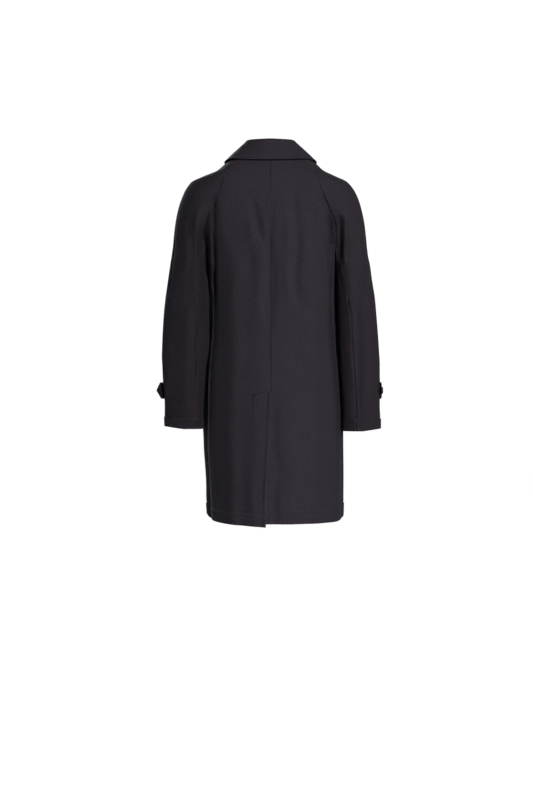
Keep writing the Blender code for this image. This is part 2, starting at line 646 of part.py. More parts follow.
def clear_scene():
    """Start from an empty scene with one collection for the part."""
    for item in list(bpy.data.objects):
        bpy.data.objects.remove(item, do_unlink=True)
    collection = bpy.data.collections.new(OBJECT_NAME)
    bpy.context.scene.collection.children.link(collection)


def main():
    """Build the coat."""
    clear_scene()
    wool = make_material("navy_wool", NAVY_WOOL, 0.9)
    horn = make_material("dark_horn", DARK_HORN, 0.35)
    panels = coat_panels()
    make_panels(panels, wool)
    make_collar(wool)
    for side in SIGN:
        make_tab(side, panels["sleeve_upper_" + side], wool, horn)
    make_front_buttons(panels["front_left"], horn)


main()
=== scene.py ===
"""Looks of the raglan overcoat: wool panels with folds and seams, stitching, buttons, light and camera.

Metres, +Z up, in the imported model's frame. The back faces +Y and the coat's left side is +X.
"""

import math

import bmesh
import bpy
import numpy as np
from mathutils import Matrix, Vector, noise


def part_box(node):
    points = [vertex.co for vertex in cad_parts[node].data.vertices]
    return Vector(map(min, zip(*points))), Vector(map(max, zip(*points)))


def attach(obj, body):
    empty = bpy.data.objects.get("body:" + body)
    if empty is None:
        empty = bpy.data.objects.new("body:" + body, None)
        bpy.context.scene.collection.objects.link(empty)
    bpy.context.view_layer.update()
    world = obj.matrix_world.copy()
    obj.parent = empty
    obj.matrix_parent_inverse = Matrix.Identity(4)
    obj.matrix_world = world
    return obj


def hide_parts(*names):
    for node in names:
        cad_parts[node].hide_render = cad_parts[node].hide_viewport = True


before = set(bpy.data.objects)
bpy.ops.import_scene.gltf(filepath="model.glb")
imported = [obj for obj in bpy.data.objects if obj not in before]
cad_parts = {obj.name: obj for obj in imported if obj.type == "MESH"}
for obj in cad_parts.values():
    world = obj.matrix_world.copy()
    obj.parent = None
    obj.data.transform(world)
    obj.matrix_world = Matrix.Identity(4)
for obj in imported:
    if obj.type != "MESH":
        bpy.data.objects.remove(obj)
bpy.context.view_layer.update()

# Cloth and the air between layers
CLOTH = 0.0025
COLLAR_CLOTH = 0.0036
TAB_CLOTH = 0.0030
SEAM_GAP = 0.00003
LAP_DEPTH = 0.0033
EDGE_ROUND = 0.0009

# Heights of the main construction points
HEM = -0.978
HEM_RISE = 0.007
FRONT_HEM_RISE = 0.013
FRONT_RISE_AT_SEAM = (0.0, 0.14)
FRONT_RISE_AHEAD = (0.10, 0.80)
HEM_RISE_STEEP = 6
HEM_RISE_FROM = -0.860
HEM_TURN_UP = 0.031
UNDERARM = -0.275
FORK = -0.255
FRONT_SWELL_FROM = -0.190
CUFF = {"left": -0.734, "right": -0.740}
CUFF_TILT = 0.007
CUFF_TURN_UP = 0.027
UNDER_SLEEVE_SETTLED = -0.350
UNDER_SLEEVE_SAG = 0.024
UNDER_SLEEVE_HOLD = 6

# Laps: the left front and the left back half lie on top
FRONT_LAP = 0.043
FRONT_LAP_BLEND = 0.028
FRONT_LAP_FLAT = 0.006
VENT_TOP = -0.636
VENT_LAP_TOP = -0.668
VENT_LAP_BLEND = 0.026
VENT_LAP_FLAT = 0.002
VENT_SWING = 0.013
VENT_SWING_FADE = 3
VENT_DROP = 0.008
VENT_DROP_FADE = 2
VENT_DROP_FROM = -0.80
LAP_WIDTH_STEP = 0.15

# Collar
STAND_BACK = 0.0270
STAND_FRONT = 0.013
STAND_SIDE_RISE = 0.0050
STAND_SIDE_BAND = (0.05, 0.28)
STAND_FRONT_BAND = (0.35, 1.0)
STAND_LEAN = 0.013
STAND_LEAN_BAND = (0.05, 0.35)
STAND_MIDDLE = (0.6, 0.5)
LEAN_BACK_SHARE = 0.2
LEAN_FRONT_SHARE = 0.2
ROLL_RADIUS = 0.0040
FALL_BACK = -0.0342
FALL_SIDE = -0.0280
FALL_BULGE = 0.0008
FALL_POINT_DROP = 0.060
FALL_POINT_INSET = 0.42
FALL_CLEAR_BACK = 0.0096
FALL_CLEAR_FRONT = 0.0054
FALL_CLEAR_BAND = (0.12, 0.36)
COLLAR_BACK_SHARE = 0.30
COLLAR_SHOULDER_SHARE = 0.60
COLLAR_END_STEP = 0.075
COLLAR_STITCH = 0.0095

# Cuff tabs
TAB_TOP = -0.612
TAB_LOW = -0.654
TAB_POINT = 0.026
TAB_FREE = 0.048
TAB_REACH = {"left": 5 / 12, "right": 6 / 12}
TAB_TIP_SHARE = 0.08
TAB_BUTTON_FROM_POINT = 0.026
TAB_STITCH = 0.0055
TAB_STITCH_STOP = 3

# Buttons
BUTTON_RADIUS = {"front": 0.0115, "cuff": 0.0085}
BUTTON_THICK = {"front": 0.0042, "cuff": 0.0034}
BUTTON_SEAT = 0.0004
FRONT_BUTTONS = 4
BUTTONHOLE = {"front": 0.027, "cuff": 0.020}
BUTTONHOLE_BEFORE = 0.003
BUTTONHOLE_SPREAD = 0.0011
BUTTONHOLE_POINTS = 14

# Spacing of the cloth grids
ROW_STEP = 0.0050
BODY_COLUMNS = 60
SLEEVE_COLUMNS = 84
UNDER_COLUMNS = 14
LAP_COLUMNS = 7
VENT_STEPS = np.linspace(0, 0.24, 31)
VENT_TACK_ROWS = np.linspace(-0.656, -0.630, 21)
VENT_TACK_POINTS = 12
TAB_STEPS = 9
TAB_POINT_COLUMNS = 5
NEAR_LINE = (0.0010, 0.0022, 0.0042)
NEAR_END = (0.12, 0.30, 0.60, 1.30, 1.50, 1.70)
LEVEL_SLACK = 1e-6
SEAM_MATCH = 1e5

# Slow unevenness of the hanging cloth: height, wave length across and wave length down
DRAPE = ((0.0011, 0.060, 0.210), (0.0005, 0.028, 0.080))
COLLAR_DRAPE = 0.4

# Seams, hems and stitching. Towards the underarm folds fade out from the second distance to the first, and
# the body's normals lie level below the first of two heights.
UNDERARM_CALM = (0.016, 0.040)
UPRIGHT_BELOW = (-0.220, -0.120)
GROOVE_DEPTH = 0.0014
GROOVE_WIDTH = 0.0012
SHOULDER_AT = 0.0042
SHOULDER_WIDTH = 0.0028
SHOULDER_RISE = {"sleeve": 0.0017, "body": 0.0007, "centre": 0.0003}
SHOULDER_FROM = (0.080, 0.130)
SLEEVE_RELIEF = {"left": 1.6, "right": 1.0}
GROOVE_AT_NECK = 0.45
SIDE_SEAM_FROM = (-0.300, -0.340)
RAGLAN_SEAM_TO = 0.02
CENTRE_SEAM_END = 0.004
PUCKER_LENGTH = 0.023
PUCKER_DRIFT = 2.5
PUCKER_DRIFT_LENGTH = 7.3
PUCKER_HEIGHT = 0.00016
PUCKER_REACH = 0.009
TURN_UP_RISE = 0.0015
TURN_UP_SLOPE = (-0.003, 0.001)
TURN_UP_CLOTH = 0.0016
TURN_UP_CLOTH_SLOPE = (-0.002, 0.0005)
STITCH_DENT = 0.0007
STITCH_DENT_WIDTH = 0.0016
STITCH_PROUD = 0.35
# Of each kind of stitch: length, pitch and radius
STITCH = {
    "seam": (0.0032, 0.0048, 0.00042),
    "tab": (0.0026, 0.0038, 0.00042),
    "bar": (0.0085, 0.0085, 0.0007),
    "buttonhole": (0.0022, 0.0008, 0.0004),
}
# A stitch's rings, each at a share of its length with a share of its radius, and how deep its ends dip
STITCH_RINGS = ((-0.36, 0.75), (0.0, 1.0), (0.36, 0.75))
STITCH_SIDES = 6
STITCH_END = (0.5, -0.6)
VENT_TACK_FROM = np.array((0.001, -0.6365))
VENT_TACK_TO = np.array((0.047, -0.6465))
VENT_TACK_DENT = 0.0016
VENT_TACK_WIDTH = 0.0024
VENT_DIMPLE = 0.0032
VENT_DIMPLE_WIDTH = 0.0060
VENT_LAP_RISE = 0.0011
VENT_LAP_SHOWS = (-0.700, -0.820)
VENT_ROLL_START = 0.008
VENT_ROLL_RISE = 0.0024
VENT_ROLL_BAND = (0.0035, 0.0100)
VENT_ROLL_DROP = 0.0016
VENT_ROLL_EDGE = 0.0030

# Grid of the collar
COLLAR_BACK_COLUMNS = 24
COLLAR_SHOULDER_COLUMNS = 12
COLLAR_FRONT_COLUMNS = 16
COLLAR_FALL_ROWS = 12
STAND_ROWS = 7
ROLL_ROWS = 10
PLAIN_STAND_PART = 3

# Button details as shares of the radius and the thickness
RIM_SHARE = 0.20
DISH_SHARE = 0.22
HOLE_SPREAD = 0.20
HOLE_SHARE = 0.085
DISH_SLOPE = 0.5
DISH_FLOOR_IN = 0.8
DISH_FLOOR_DOWN = 0.4
BUTTON_EDGE = 0.12
BUTTON_EDGE_STEPS = 3
BUTTON_SIDES = 48
HOLE_SIDES = 16
DRILL_LENGTH = 4
BUTTON_SMOOTH = math.radians(35)
FACES_UP = 0.9
THREAD_SINK = 1.2

# Finishes
WOOL_DARK = (0.0150, 0.0116, 0.0169, 1.0)
WOOL_LIGHT = (0.0316, 0.0252, 0.0356, 1.0)
WOOL_SHADES_AT = (0.36, 0.64)
WOOL_FINISH = {
    "Roughness": 0.88,
    "Specular_IOR_Level": 0.22,
    "Sheen_Weight": 0.04,
    "Sheen_Roughness": 0.40,
    "Sheen_Tint": (0.80, 0.82, 1.0, 1.0),
}
TWILL = {"Scale": 320.0, "Distortion": 1.6, "Detail": 2.0, "Detail_Scale": 2.0}
FIBRE = {"Scale": 900.0, "Detail": 5.0, "Roughness": 0.7}
MOTTLE = {"Scale": 225.0, "Detail": 3.0, "Roughness": 0.6}
CLOUD = {"Scale": 24.0, "Detail": 2.0, "Roughness": 0.5}
MOTTLE_SHARE = 0.72
CLOUD_SHARE = 0.10
FIBRE_IN_WEAVE = 0.6
WEAVE_BUMP = {"Strength": 0.35, "Distance": 0.0006}
THREAD_DARK = (0.012, 0.011, 0.016, 1.0)
# The thread's lighter end is partly the twist's paler fibres and partly painted sheen: a lighter colour that
# stands in for the thread's gloss
THREAD_PALE_AND_SHEEN = (0.048, 0.043, 0.055, 1.0)
THREAD_FINISH = {"Roughness": 0.6}
THREAD_SHADES_AT = (0.0, 1.0)
TWIST = {"Scale": 1400.0, "Detail": 2.0}
HORN_DARK = (0.012, 0.009, 0.008, 1.0)
HORN_LIGHT = (0.060, 0.042, 0.032, 1.0)
HORN_SHADES_AT = (0.35, 0.75)
HORN_GROWTH = {"Scale": (60.0, 60.0, 260.0), "Rotation": (0.3, 0.5, 0.0)}
STREAK = {"Scale": 1.0, "Detail": 6.0, "Roughness": 0.65, "Distortion": 0.6}
HORN_GLOSS = {"To_Min": 0.24, "To_Max": 0.42}

# Studio
FLOOR_SIZE = 300.0
FLOOR_LEVEL = -1.63
FLOOR_FINISH = {"Base_Color": (0.35, 0.35, 0.355, 1.0), "Roughness": 0.9, "Emission_Strength": 1.0}
BACKDROP = {"Color": (1.0, 1.0, 1.0, 1.0), "Strength": 1.05}
ROOM_LIGHT = {"Color": (0.97, 0.98, 1.0, 1.0), "Strength": 0.012}
# Of each light: name, place, the place it is turned to, width, height, spread in degrees, watts and colour
LIGHTS = (
    ("strip_light", (-1.07, 3.88, 0.33), (-0.04, 0.10, -0.46), 0.4, 2.6, 16.0, 5.2, (1.0, 0.99, 0.98)),
    ("right_wall", (-3.80, 1.12, 0.30), (0.00, 0.10, -0.50), 1.2, 3.0, 180.0, 46.0, (1.0, 0.99, 0.98)),
    ("left_wall", (3.80, 1.12, -0.20), (0.00, 0.10, -0.50), 1.2, 3.0, 180.0, 17.0, (0.96, 0.98, 1.0)),
    ("front_light", (1.50, -4.00, 1.20), (0.00, 0.00, -0.45), 2.4, 2.4, 180.0, 150.0, (1.0, 1.0, 1.0)),
)
CAMERA_PLACE = (0.0106, 5.0, -0.657)
CAMERA_LENS = 84.7
CAMERA_SENSOR = 36.0

# Sides, the rounding of the rows, and how far two panels may turn from each other and still run on smoothly
SIGN = {"left": 1.0, "right": -1.0}
OTHER = {"left": "right", "right": "left"}
ELLIPSE_FULLNESS = 0.5523
LEAST_TURN = 2.6
ARMHOLE_ROUND = 1.4
SEAM_FOLDED = 0.35
SEAM_SMOOTH = 0.75
# Folds fade over this share of their length, wander by a share of their width and vary in height
FOLD_FADE = 0.28
FOLD_WANDER = 0.30
FOLD_WANDER_LENGTH = 0.190
FOLD_WANDER_START = 1.7
FOLD_UNEVEN = 0.22
FOLD_UNEVEN_RATE = 1.6

# Body below the underarm
SKIRT = (
    ("level", "left_x", "right_x", "back_y", "front_y", "side_y", "fullness", "left_wrap", "right_wrap"),
    (
        (-0.275, 0.1700, 0.1700, 0.1285, -0.140, 0.018, 0.70, 6.0, 6.0),
        (-0.287, 0.1704, 0.1704, 0.1289, -0.1415, 0.0175, 0.705, 12.0, 13.0),
        (-0.300, 0.1676, 0.1696, 0.1293, -0.143, 0.017, 0.71, 18.0, 19.0),
        (-0.340, 0.1595, 0.1670, 0.1300, -0.147, 0.014, 0.71, 30.0, 27.0),
        (-0.391, 0.1525, 0.1665, 0.1297, -0.150, 0.010, 0.70, 36.0, 29.0),
        (-0.450, 0.1520, 0.1685, 0.1290, -0.152, 0.006, 0.69, 38.0, 30.0),
        (-0.520, 0.1565, 0.1730, 0.1295, -0.153, 0.002, 0.67, 38.0, 30.0),
        (-0.600, 0.1630, 0.1800, 0.1325, -0.155, 0.000, 0.63, 45.0, 29.0),
        (-0.680, 0.1660, 0.1850, 0.1380, -0.157, 0.000, 0.60, 46.0, 29.0),
        (-0.770, 0.1670, 0.1875, 0.1460, -0.160, 0.000, 0.58, 35.0, 25.0),
        (-0.870, 0.1620, 0.1880, 0.1550, -0.163, 0.000, 0.57, 32.0, 25.0),
        (-0.930, 0.1590, 0.1880, 0.1600, -0.165, 0.000, 0.56, 36.0, 26.0),
        (-0.990, 0.1545, 0.1865, 0.1650, -0.166, 0.000, 0.56, 38.0, 26.0),
    ),
)

# Body above the underarm
YOKE = (
    ("level", "back_y", "front_y", "front_drop", "front_dip", "back_turn", "front_turn", "fullness"),
    (
        (0.000, 0.0620, -0.075, 0.0820, 0.016, 62.0, 60.0, 0.55),
        (-0.030, 0.0800, -0.086, 0.0750, 0.012, 22.0, 42.0, 0.48),
        (-0.050, 0.0905, -0.093, 0.0700, 0.008, 14.0, 36.0, 0.45),
        (-0.066, 0.0970, -0.099, 0.0650, 0.005, 9.0, 32.0, 0.45),
        (-0.080, 0.1020, -0.103, 0.0610, 0.003, 9.0, 30.0, 0.45),
        (-0.100, 0.1080, -0.110, 0.0560, 0.000, 11.0, 32.0, 0.46),
        (-0.125, 0.1140, -0.117, 0.0480, 0.000, 16.0, 40.0, 0.48),
        (-0.152, 0.1190, -0.123, 0.0400, 0.000, 26.0, 50.0, 0.50),
        (-0.188, 0.1240, -0.130, 0.0290, 0.000, 44.0, 62.0, 0.54),
        (-0.227, 0.1270, -0.135, 0.0170, 0.000, 64.0, 76.0, 0.625),
        (-0.255, 0.1280, -0.138, 0.0070, 0.000, 80.0, 85.0, 0.66),
        (-0.275, 0.1285, -0.140, 0.0000, 0.000, 90.0, 90.0, 0.70),
    ),
)

# Sleeves as elliptic sections. Angle 0 is the outer side and 90 degrees the back.
ARM = (
    (
        "level", "left_centre", "left_width", "right_centre", "right_width", "centre_y", "depth",
        "left_rear", "right_rear", "front",
    ),
    (
        (0.000, 0.0180, 0.0540, 0.0180, 0.0540, 0.000, 0.066, 26.0, 26.0, -28.0),
        (-0.030, 0.0580, 0.0640, 0.0580, 0.0640, 0.012, 0.0765, 49.6, 49.6, -46.6),
        (-0.050, 0.0750, 0.0690, 0.0750, 0.0670, 0.014, 0.085, 58.2, 58.2, -53.5),
        (-0.066, 0.0950, 0.0850, 0.0950, 0.0795, 0.015, 0.083, 73.1, 73.1, -65.0),
        (-0.080, 0.1070, 0.1030, 0.1070, 0.0970, 0.016, 0.086, 80.0, 80.0, -72.0),
        (-0.100, 0.1180, 0.1060, 0.1180, 0.1020, 0.017, 0.088, 84.0, 84.0, -80.0),
        (-0.125, 0.1400, 0.0956, 0.1400, 0.0922, 0.018, 0.088, 91.0, 91.0, -88.0),
        (-0.152, 0.1680, 0.0765, 0.1670, 0.0740, 0.018, 0.084, 103.0, 103.0, -100.0),
        (-0.188, 0.1960, 0.0555, 0.1945, 0.0540, 0.018, 0.077, 121.0, 121.0, -118.0),
        (-0.227, 0.2100, 0.0465, 0.2085, 0.0450, 0.018, 0.071, 141.0, 141.0, -139.0),
        (-0.255, 0.2140, 0.0450, 0.2130, 0.0435, 0.018, 0.069, 160.0, 160.0, -160.0),
        (-0.275, 0.2165, 0.0450, 0.2155, 0.0435, 0.019, 0.068, 145.0, 151.0, -146.0),
        (-0.297, 0.2185, 0.0465, 0.2187, 0.0452, 0.020, 0.067, 134.0, 144.0, -136.0),
        (-0.340, 0.2192, 0.0522, 0.2222, 0.0477, 0.021, 0.065, 126.0, 132.0, -130.0),
        (-0.391, 0.2213, 0.0573, 0.2265, 0.0510, 0.022, 0.063, 121.0, 118.0, -128.0),
        (-0.444, 0.2234, 0.0604, 0.2299, 0.0518, 0.022, 0.061, 119.0, 111.0, -128.0),
        (-0.508, 0.2249, 0.0624, 0.2336, 0.0531, 0.021, 0.058, 120.0, 112.0, -128.0),
        (-0.593, 0.2307, 0.0573, 0.2386, 0.0531, 0.020, 0.055, 127.0, 111.0, -128.0),
        (-0.657, 0.2302, 0.0532, 0.2412, 0.0511, 0.019, 0.053, 130.0, 110.0, -128.0),
        (-0.745, 0.2298, 0.0492, 0.2418, 0.0493, 0.018, 0.051, 132.0, 110.0, -128.0),
    ),
)

# Folds as soft ridges (+) and troughs (-) between two places, fading out at both ends, by the side they are
# seen from square on. Of each: across and height of its top and of its foot, half width and rise. Across is
# X for the back and the front, and Y for the two sides.
FOLDS = {
    "back": (
        # Upper back: breaks beside the raglan seams and a slanting drag from the left blade
        (0.054, -0.125, 0.012, -0.265, 0.011, -0.0072),
        (0.062, -0.180, 0.034, -0.300, 0.013, 0.0050),
        (0.052, -0.205, 0.050, -0.370, 0.011, -0.0042),
        (0.028, -0.230, 0.030, -0.480, 0.012, 0.0042),
        (-0.001, -0.105, -0.003, -0.540, 0.010, -0.0056),
        (-0.044, -0.120, -0.046, -0.480, 0.013, 0.0046),
        (-0.065, -0.080, -0.068, -0.440, 0.011, -0.0066),
        (-0.098, -0.130, -0.100, -0.360, 0.010, 0.0025),
        (-0.122, -0.120, -0.128, -0.345, 0.009, 0.0045),
        (-0.147, -0.140, -0.152, -0.350, 0.007, -0.0060),
        (0.120, -0.085, 0.126, -0.300, 0.018, 0.0055),
        # Middle of the back: the sides turn away sharply
        (0.094, -0.190, 0.096, -0.760, 0.022, 0.0060),
        (0.130, -0.250, 0.132, -0.760, 0.021, -0.0072),
        (-0.104, -0.250, -0.110, -0.800, 0.021, 0.0050),
        (-0.140, -0.270, -0.146, -0.800, 0.022, -0.0075),
        (0.062, -0.430, 0.070, -0.640, 0.018, -0.0022),
        (-0.072, -0.440, -0.082, -0.660, 0.018, -0.0020),
        # Lower back: shallow flutes that run out at the hem
        (0.096, -0.560, 0.100, -1.500, 0.022, 0.0058),
        (0.132, -0.560, 0.138, -1.500, 0.021, -0.0070),
        (0.067, -0.640, 0.071, -1.350, 0.016, -0.0042),
        (0.038, -0.660, 0.040, -1.350, 0.015, 0.0030),
        (-0.013, -0.610, -0.017, -1.350, 0.013, -0.0044),
        (-0.056, -0.620, -0.060, -1.350, 0.018, 0.0038),
        (-0.094, -0.640, -0.098, -1.350, 0.014, -0.0022),
        (-0.112, -0.600, -0.114, -1.500, 0.018, 0.0038),
        (-0.147, -0.560, -0.151, -1.500, 0.018, -0.0050),
        (-0.173, -0.620, -0.175, -1.350, 0.010, 0.0030),
        # The ridge left of the centre seam
        (0.0045, -0.080, 0.0050, -0.260, 0.0035, 0.0011),
        # Beside the underarms: a narrow lit strip of the back, then a deep crease
        (0.1580, -0.120, 0.1570, -0.330, 0.0065, 0.0070),
        (0.1475, -0.110, 0.1490, -0.430, 0.0052, -0.0170),
        (0.1560, -0.280, 0.1540, -0.560, 0.0110, -0.0090),
        (-0.1640, -0.150, -0.1660, -0.350, 0.0060, 0.0065),
        (-0.1560, -0.140, -0.1570, -0.340, 0.0050, -0.0050),
    ),
    "back_arm": (
        # Sleeves from behind: a sharp crest under the raglan seam with a hollow inside, flat faces outwards
        (0.1930, -0.160, 0.1940, -0.350, 0.0060, 0.0085),
        (0.1930, -0.100, 0.1980, -0.480, 0.0200, 0.0090),
        (0.1800, -0.195, 0.1720, -0.350, 0.0055, -0.0085),
        (0.2060, -0.160, 0.2130, -0.430, 0.0080, -0.0060),
        (0.2080, -0.360, 0.2200, -0.800, 0.0180, 0.0065),
        (0.2460, -0.090, 0.2560, -0.800, 0.0230, -0.0110),
        (0.2300, -0.300, 0.2500, -0.400, 0.0110, 0.0025),
        (0.1990, -0.460, 0.2060, -0.700, 0.0080, -0.0030),
        (-0.1935, -0.165, -0.1930, -0.320, 0.0055, 0.0085),
        (-0.1980, -0.140, -0.2120, -0.740, 0.0160, 0.0050),
        (-0.1860, -0.170, -0.1780, -0.305, 0.0062, -0.0150),
        (-0.2230, -0.180, -0.2320, -0.740, 0.0140, -0.0042),
        (-0.2440, -0.200, -0.2520, -0.740, 0.0140, 0.0022),
        (-0.178, -0.375, -0.200, -0.398, 0.006, 0.0035),
        (-0.178, -0.405, -0.200, -0.422, 0.006, -0.0035),
    ),
    "front": (
        # Front: drags from the chest to the buttons and flutes to the hem
        (0.095, -0.300, 0.100, -1.350, 0.022, 0.0055),
        (0.140, -0.360, 0.146, -1.350, 0.016, -0.0045),
        (0.058, -0.420, 0.060, -1.350, 0.016, -0.0030),
        (-0.100, -0.330, -0.105, -1.350, 0.022, 0.0055),
        (-0.146, -0.360, -0.150, -1.350, 0.016, -0.0045),
        (-0.066, -0.420, -0.068, -1.350, 0.016, -0.0030),
        (0.110, -0.190, 0.052, -0.300, 0.013, -0.0045),
        (0.120, -0.230, 0.060, -0.345, 0.013, 0.0030),
        (-0.120, -0.190, -0.070, -0.330, 0.013, -0.0045),
        (0.146, -0.140, 0.150, -0.440, 0.012, -0.0036),
        (-0.144, -0.140, -0.149, -0.440, 0.012, -0.0036),
    ),
    "front_arm": (
        (0.250, -0.400, 0.212, -0.460, 0.012, -0.0042),
        (0.252, -0.450, 0.214, -0.505, 0.012, 0.0035),
        (0.250, -0.500, 0.212, -0.550, 0.011, -0.0035),
        (-0.255, -0.390, -0.218, -0.455, 0.012, -0.0042),
        (-0.257, -0.440, -0.222, -0.500, 0.012, 0.0035),
        (-0.255, -0.495, -0.222, -0.545, 0.011, -0.0035),
    ),
    "left_arm": (
        # Outer sides of the sleeves
        (0.040, -0.180, 0.052, -0.420, 0.013, -0.0035),
        (-0.026, -0.240, -0.020, -0.480, 0.013, 0.0032),
        (-0.004, -0.420, -0.060, -0.470, 0.011, -0.0040),
        (-0.006, -0.480, -0.058, -0.520, 0.011, 0.0035),
        (0.020, -0.540, 0.030, -0.720, 0.013, -0.0028),
    ),
    "right_arm": (
        (0.044, -0.190, 0.050, -0.430, 0.013, -0.0035),
        (-0.026, -0.230, -0.018, -0.470, 0.013, 0.0032),
        (-0.004, -0.430, -0.060, -0.485, 0.011, -0.0040),
        (-0.006, -0.490, -0.058, -0.530, 0.011, 0.0035),
        (0.014, -0.550, 0.024, -0.720, 0.013, -0.0028),
    ),
}

# Of each look: the axis across, the axis it looks along, the way it looks from, and how far out along that
# axis the folds begin and are full
LOOK = {
    "back": (0, 1, 1.0, 0.036, 0.070),
    "front": (0, 1, -1.0, 0.060, 0.100),
    "back_arm": (0, 1, 1.0, 0.028, 0.052),
    "front_arm": (0, 1, -1.0, 0.000, 0.030),
    "left_arm": (1, 0, 1.0, 0.225, 0.258),
    "right_arm": (1, 0, -1.0, 0.225, 0.258),
}


def read(table, name, level):
    """A table column at a level, by a cubic that never overshoots the rows."""
    columns, rows = table
    data = np.array(sorted(rows))
    levels = data[:, 0]
    values = data[:, columns.index(name)]
    steps = np.diff(levels)
    slopes = np.diff(values) / steps
    tangents = np.concatenate(([slopes[0]], np.zeros(len(slopes) - 1), [slopes[-1]]))
    for row in range(1, len(slopes)):
        before, after = slopes[row - 1], slopes[row]
        if before * after > 0:
            heavy = 2 * steps[row] + steps[row - 1]
            light = steps[row] + 2 * steps[row - 1]
            tangents[row] = (heavy + light) / (heavy / before + light / after)
    row = int(np.clip(np.searchsorted(levels, level) - 1, 0, len(steps) - 1))
    t = np.clip((level - levels[row]) / steps[row], 0.0, 1.0)
    rise = values[row + 1] - values[row]
    start, end = tangents[row] * steps[row], tangents[row + 1] * steps[row]
    return values[row] + t * (start + t * (3 * rise - 2 * start - end + t * (start + end - 2 * rise)))


def ease(value, low, high):
    """Smooth step from 0 at low to 1 at high."""
    t = np.clip((value - low) / (high - low), 0.0, 1.0)
    return t * t * (3 - 2 * t)


def unit(vectors):
    """Vectors scaled to length one."""
    return vectors / np.maximum(np.linalg.norm(vectors, axis=-1, keepdims=True), 1e-12)


def bezier(p0, p1, p2, p3, t):
    """Points of a cubic curve at the values t."""
    t = np.asarray(t)[:, None]
    return (1 - t) ** 3 * p0 + 3 * (1 - t) ** 2 * t * p1 + 3 * (1 - t) * t ** 2 * p2 + t ** 3 * p3


def graded(count):
    """Even steps from 0 to 1 with closer ones beside both ends."""
    near = np.array(NEAR_END) / count
    return np.unique(np.concatenate((np.linspace(0, 1, count + 1), near, 1 - near)))


def fine_levels(marks, lines=()):
    """Levels through the marks at the row step, with closer ones beside the given lines."""
    levels = [marks[0]]
    for low, high in zip(marks[:-1], marks[1:]):
        count = max(1, math.ceil((high - low) / ROW_STEP))
        levels.extend(np.linspace(low, high, count + 1)[1:])
    for line in lines:
        levels.append(line)
        levels.extend(line + step for step in NEAR_LINE)
        levels.extend(line - step for step in NEAR_LINE)
    levels = np.array([level for level in levels if marks[0] <= level <= marks[-1]])
    return tuple(np.unique(np.round(levels, 6)))


ARMHOLE_SHARES = np.linspace(0, 1, UNDER_COLUMNS + 1)
ARMHOLE_LEVELS = tuple(FORK + (UNDERARM - FORK) * ARMHOLE_SHARES[1:])
VENT_LEVELS = fine_levels((HEM, VENT_LAP_TOP, VENT_TACK_ROWS[0]), (HEM, HEM + HEM_TURN_UP))
SIDE_LEVELS = fine_levels((VENT_TACK_ROWS[-1], UNDERARM))[:-1]
SKIRT_LEVELS = tuple(np.unique(np.round(VENT_LEVELS + tuple(VENT_TACK_ROWS) + SIDE_LEVELS, 6)))
YOKE_LEVELS = fine_levels((FORK, 0.0))
BODY_LEVELS = np.array(SKIRT_LEVELS + tuple(reversed(ARMHOLE_LEVELS)) + YOKE_LEVELS)
BODY_STEPS = np.unique(np.concatenate((graded(BODY_COLUMNS), VENT_STEPS)))
LAP_STEPS = np.linspace(LAP_WIDTH_STEP, 0, LAP_COLUMNS, endpoint=False)


def arm_levels(side):
    """Levels of a sleeve below the fork, from the fork down to the cuff."""
    levels = fine_levels((CUFF[side], TAB_LOW, TAB_TOP, FORK), (CUFF[side], CUFF[side] + CUFF_TURN_UP))
    return tuple(reversed(levels[:-1]))


def arm_points(side, level, angles):
    """Points of a sleeve section at angles in degrees."""
    angles = np.radians(np.asarray(angles, dtype=float))
    x = read(ARM, side + "_centre", level) + read(ARM, side + "_width", level) * np.cos(angles)
    y = read(ARM, "centre_y", level) + read(ARM, "depth", level) * np.sin(angles)
    z = level - read(YOKE, "front_dip", max(level, UNDERARM)) * (1 - np.sin(angles)) / 2
    z = z + CUFF_TILT * ease(-level, -TAB_LOW, -CUFF[side]) * np.maximum(np.cos(angles), 0.0)
    return np.stack((SIGN[side] * x, y, z), axis=-1)


def seam_angles(side, level):
    """Rear and front seam angles of a sleeve section."""
    return read(ARM, side + "_rear", level), read(ARM, "front", level)


def side_point(side, level):
    """Point of the side seam."""
    return np.array((SIGN[side] * read(SKIRT, side + "_x", level), read(SKIRT, "side_y", level), level))


def armhole_point(side, level, face):
    """Point of the raglan seam on the back (+1) or the front (-1)."""
    if level >= FORK:
        rear, front = seam_angles(side, level)
        return arm_points(side, level, [rear if face > 0 else front])[0]
    down = (FORK - level) / (FORK - UNDERARM)
    top = armhole_point(side, FORK, face)
    underarm = side_point(side, UNDERARM)
    return top + (underarm - top) * np.array((math.sin(down * math.pi / 2), down ** ARMHOLE_ROUND, down))


def body_row(side, face, level, steps):
    """Points of the back (+1) or front (-1) from the centre (0) to the side (1)."""
    sign = SIGN[side]
    name = "back" if face > 0 else "front"
    if level < UNDERARM:
        depth = read(SKIRT, name + "_y", level)
        end = side_point(side, level)
        turn, drop, fullness = 90.0, 0.0, read(SKIRT, "fullness", level)
        wrap = read(SKIRT, side + "_wrap", level) if face < 0 else 0.0
    else:
        depth = read(YOKE, name + "_y", level)
        end = armhole_point(side, level, face)
        turn, fullness = read(YOKE, name + "_turn", level), read(YOKE, "fullness", level)
        drop, wrap = 0.0, 0.0
        if face < 0:
            drop = read(YOKE, "front_drop", level)
            wrap = read(SKIRT, side + "_wrap", UNDERARM) * ease(-level, -FRONT_SWELL_FROM, -UNDERARM)
    start = np.array((0.0, depth, level - drop))
    first, last = row_handles(abs(end[0]), abs(end[1] - depth), math.radians(turn), fullness)
    turn = math.radians(turn + wrap)
    down = (end[2] - start[2]) * math.cos(turn)
    heading = np.array((sign * math.cos(turn), -face * math.sin(turn), down))
    return bezier(start, start + np.array((sign * first, 0.0, 0.0)), end - last * heading, end, steps)


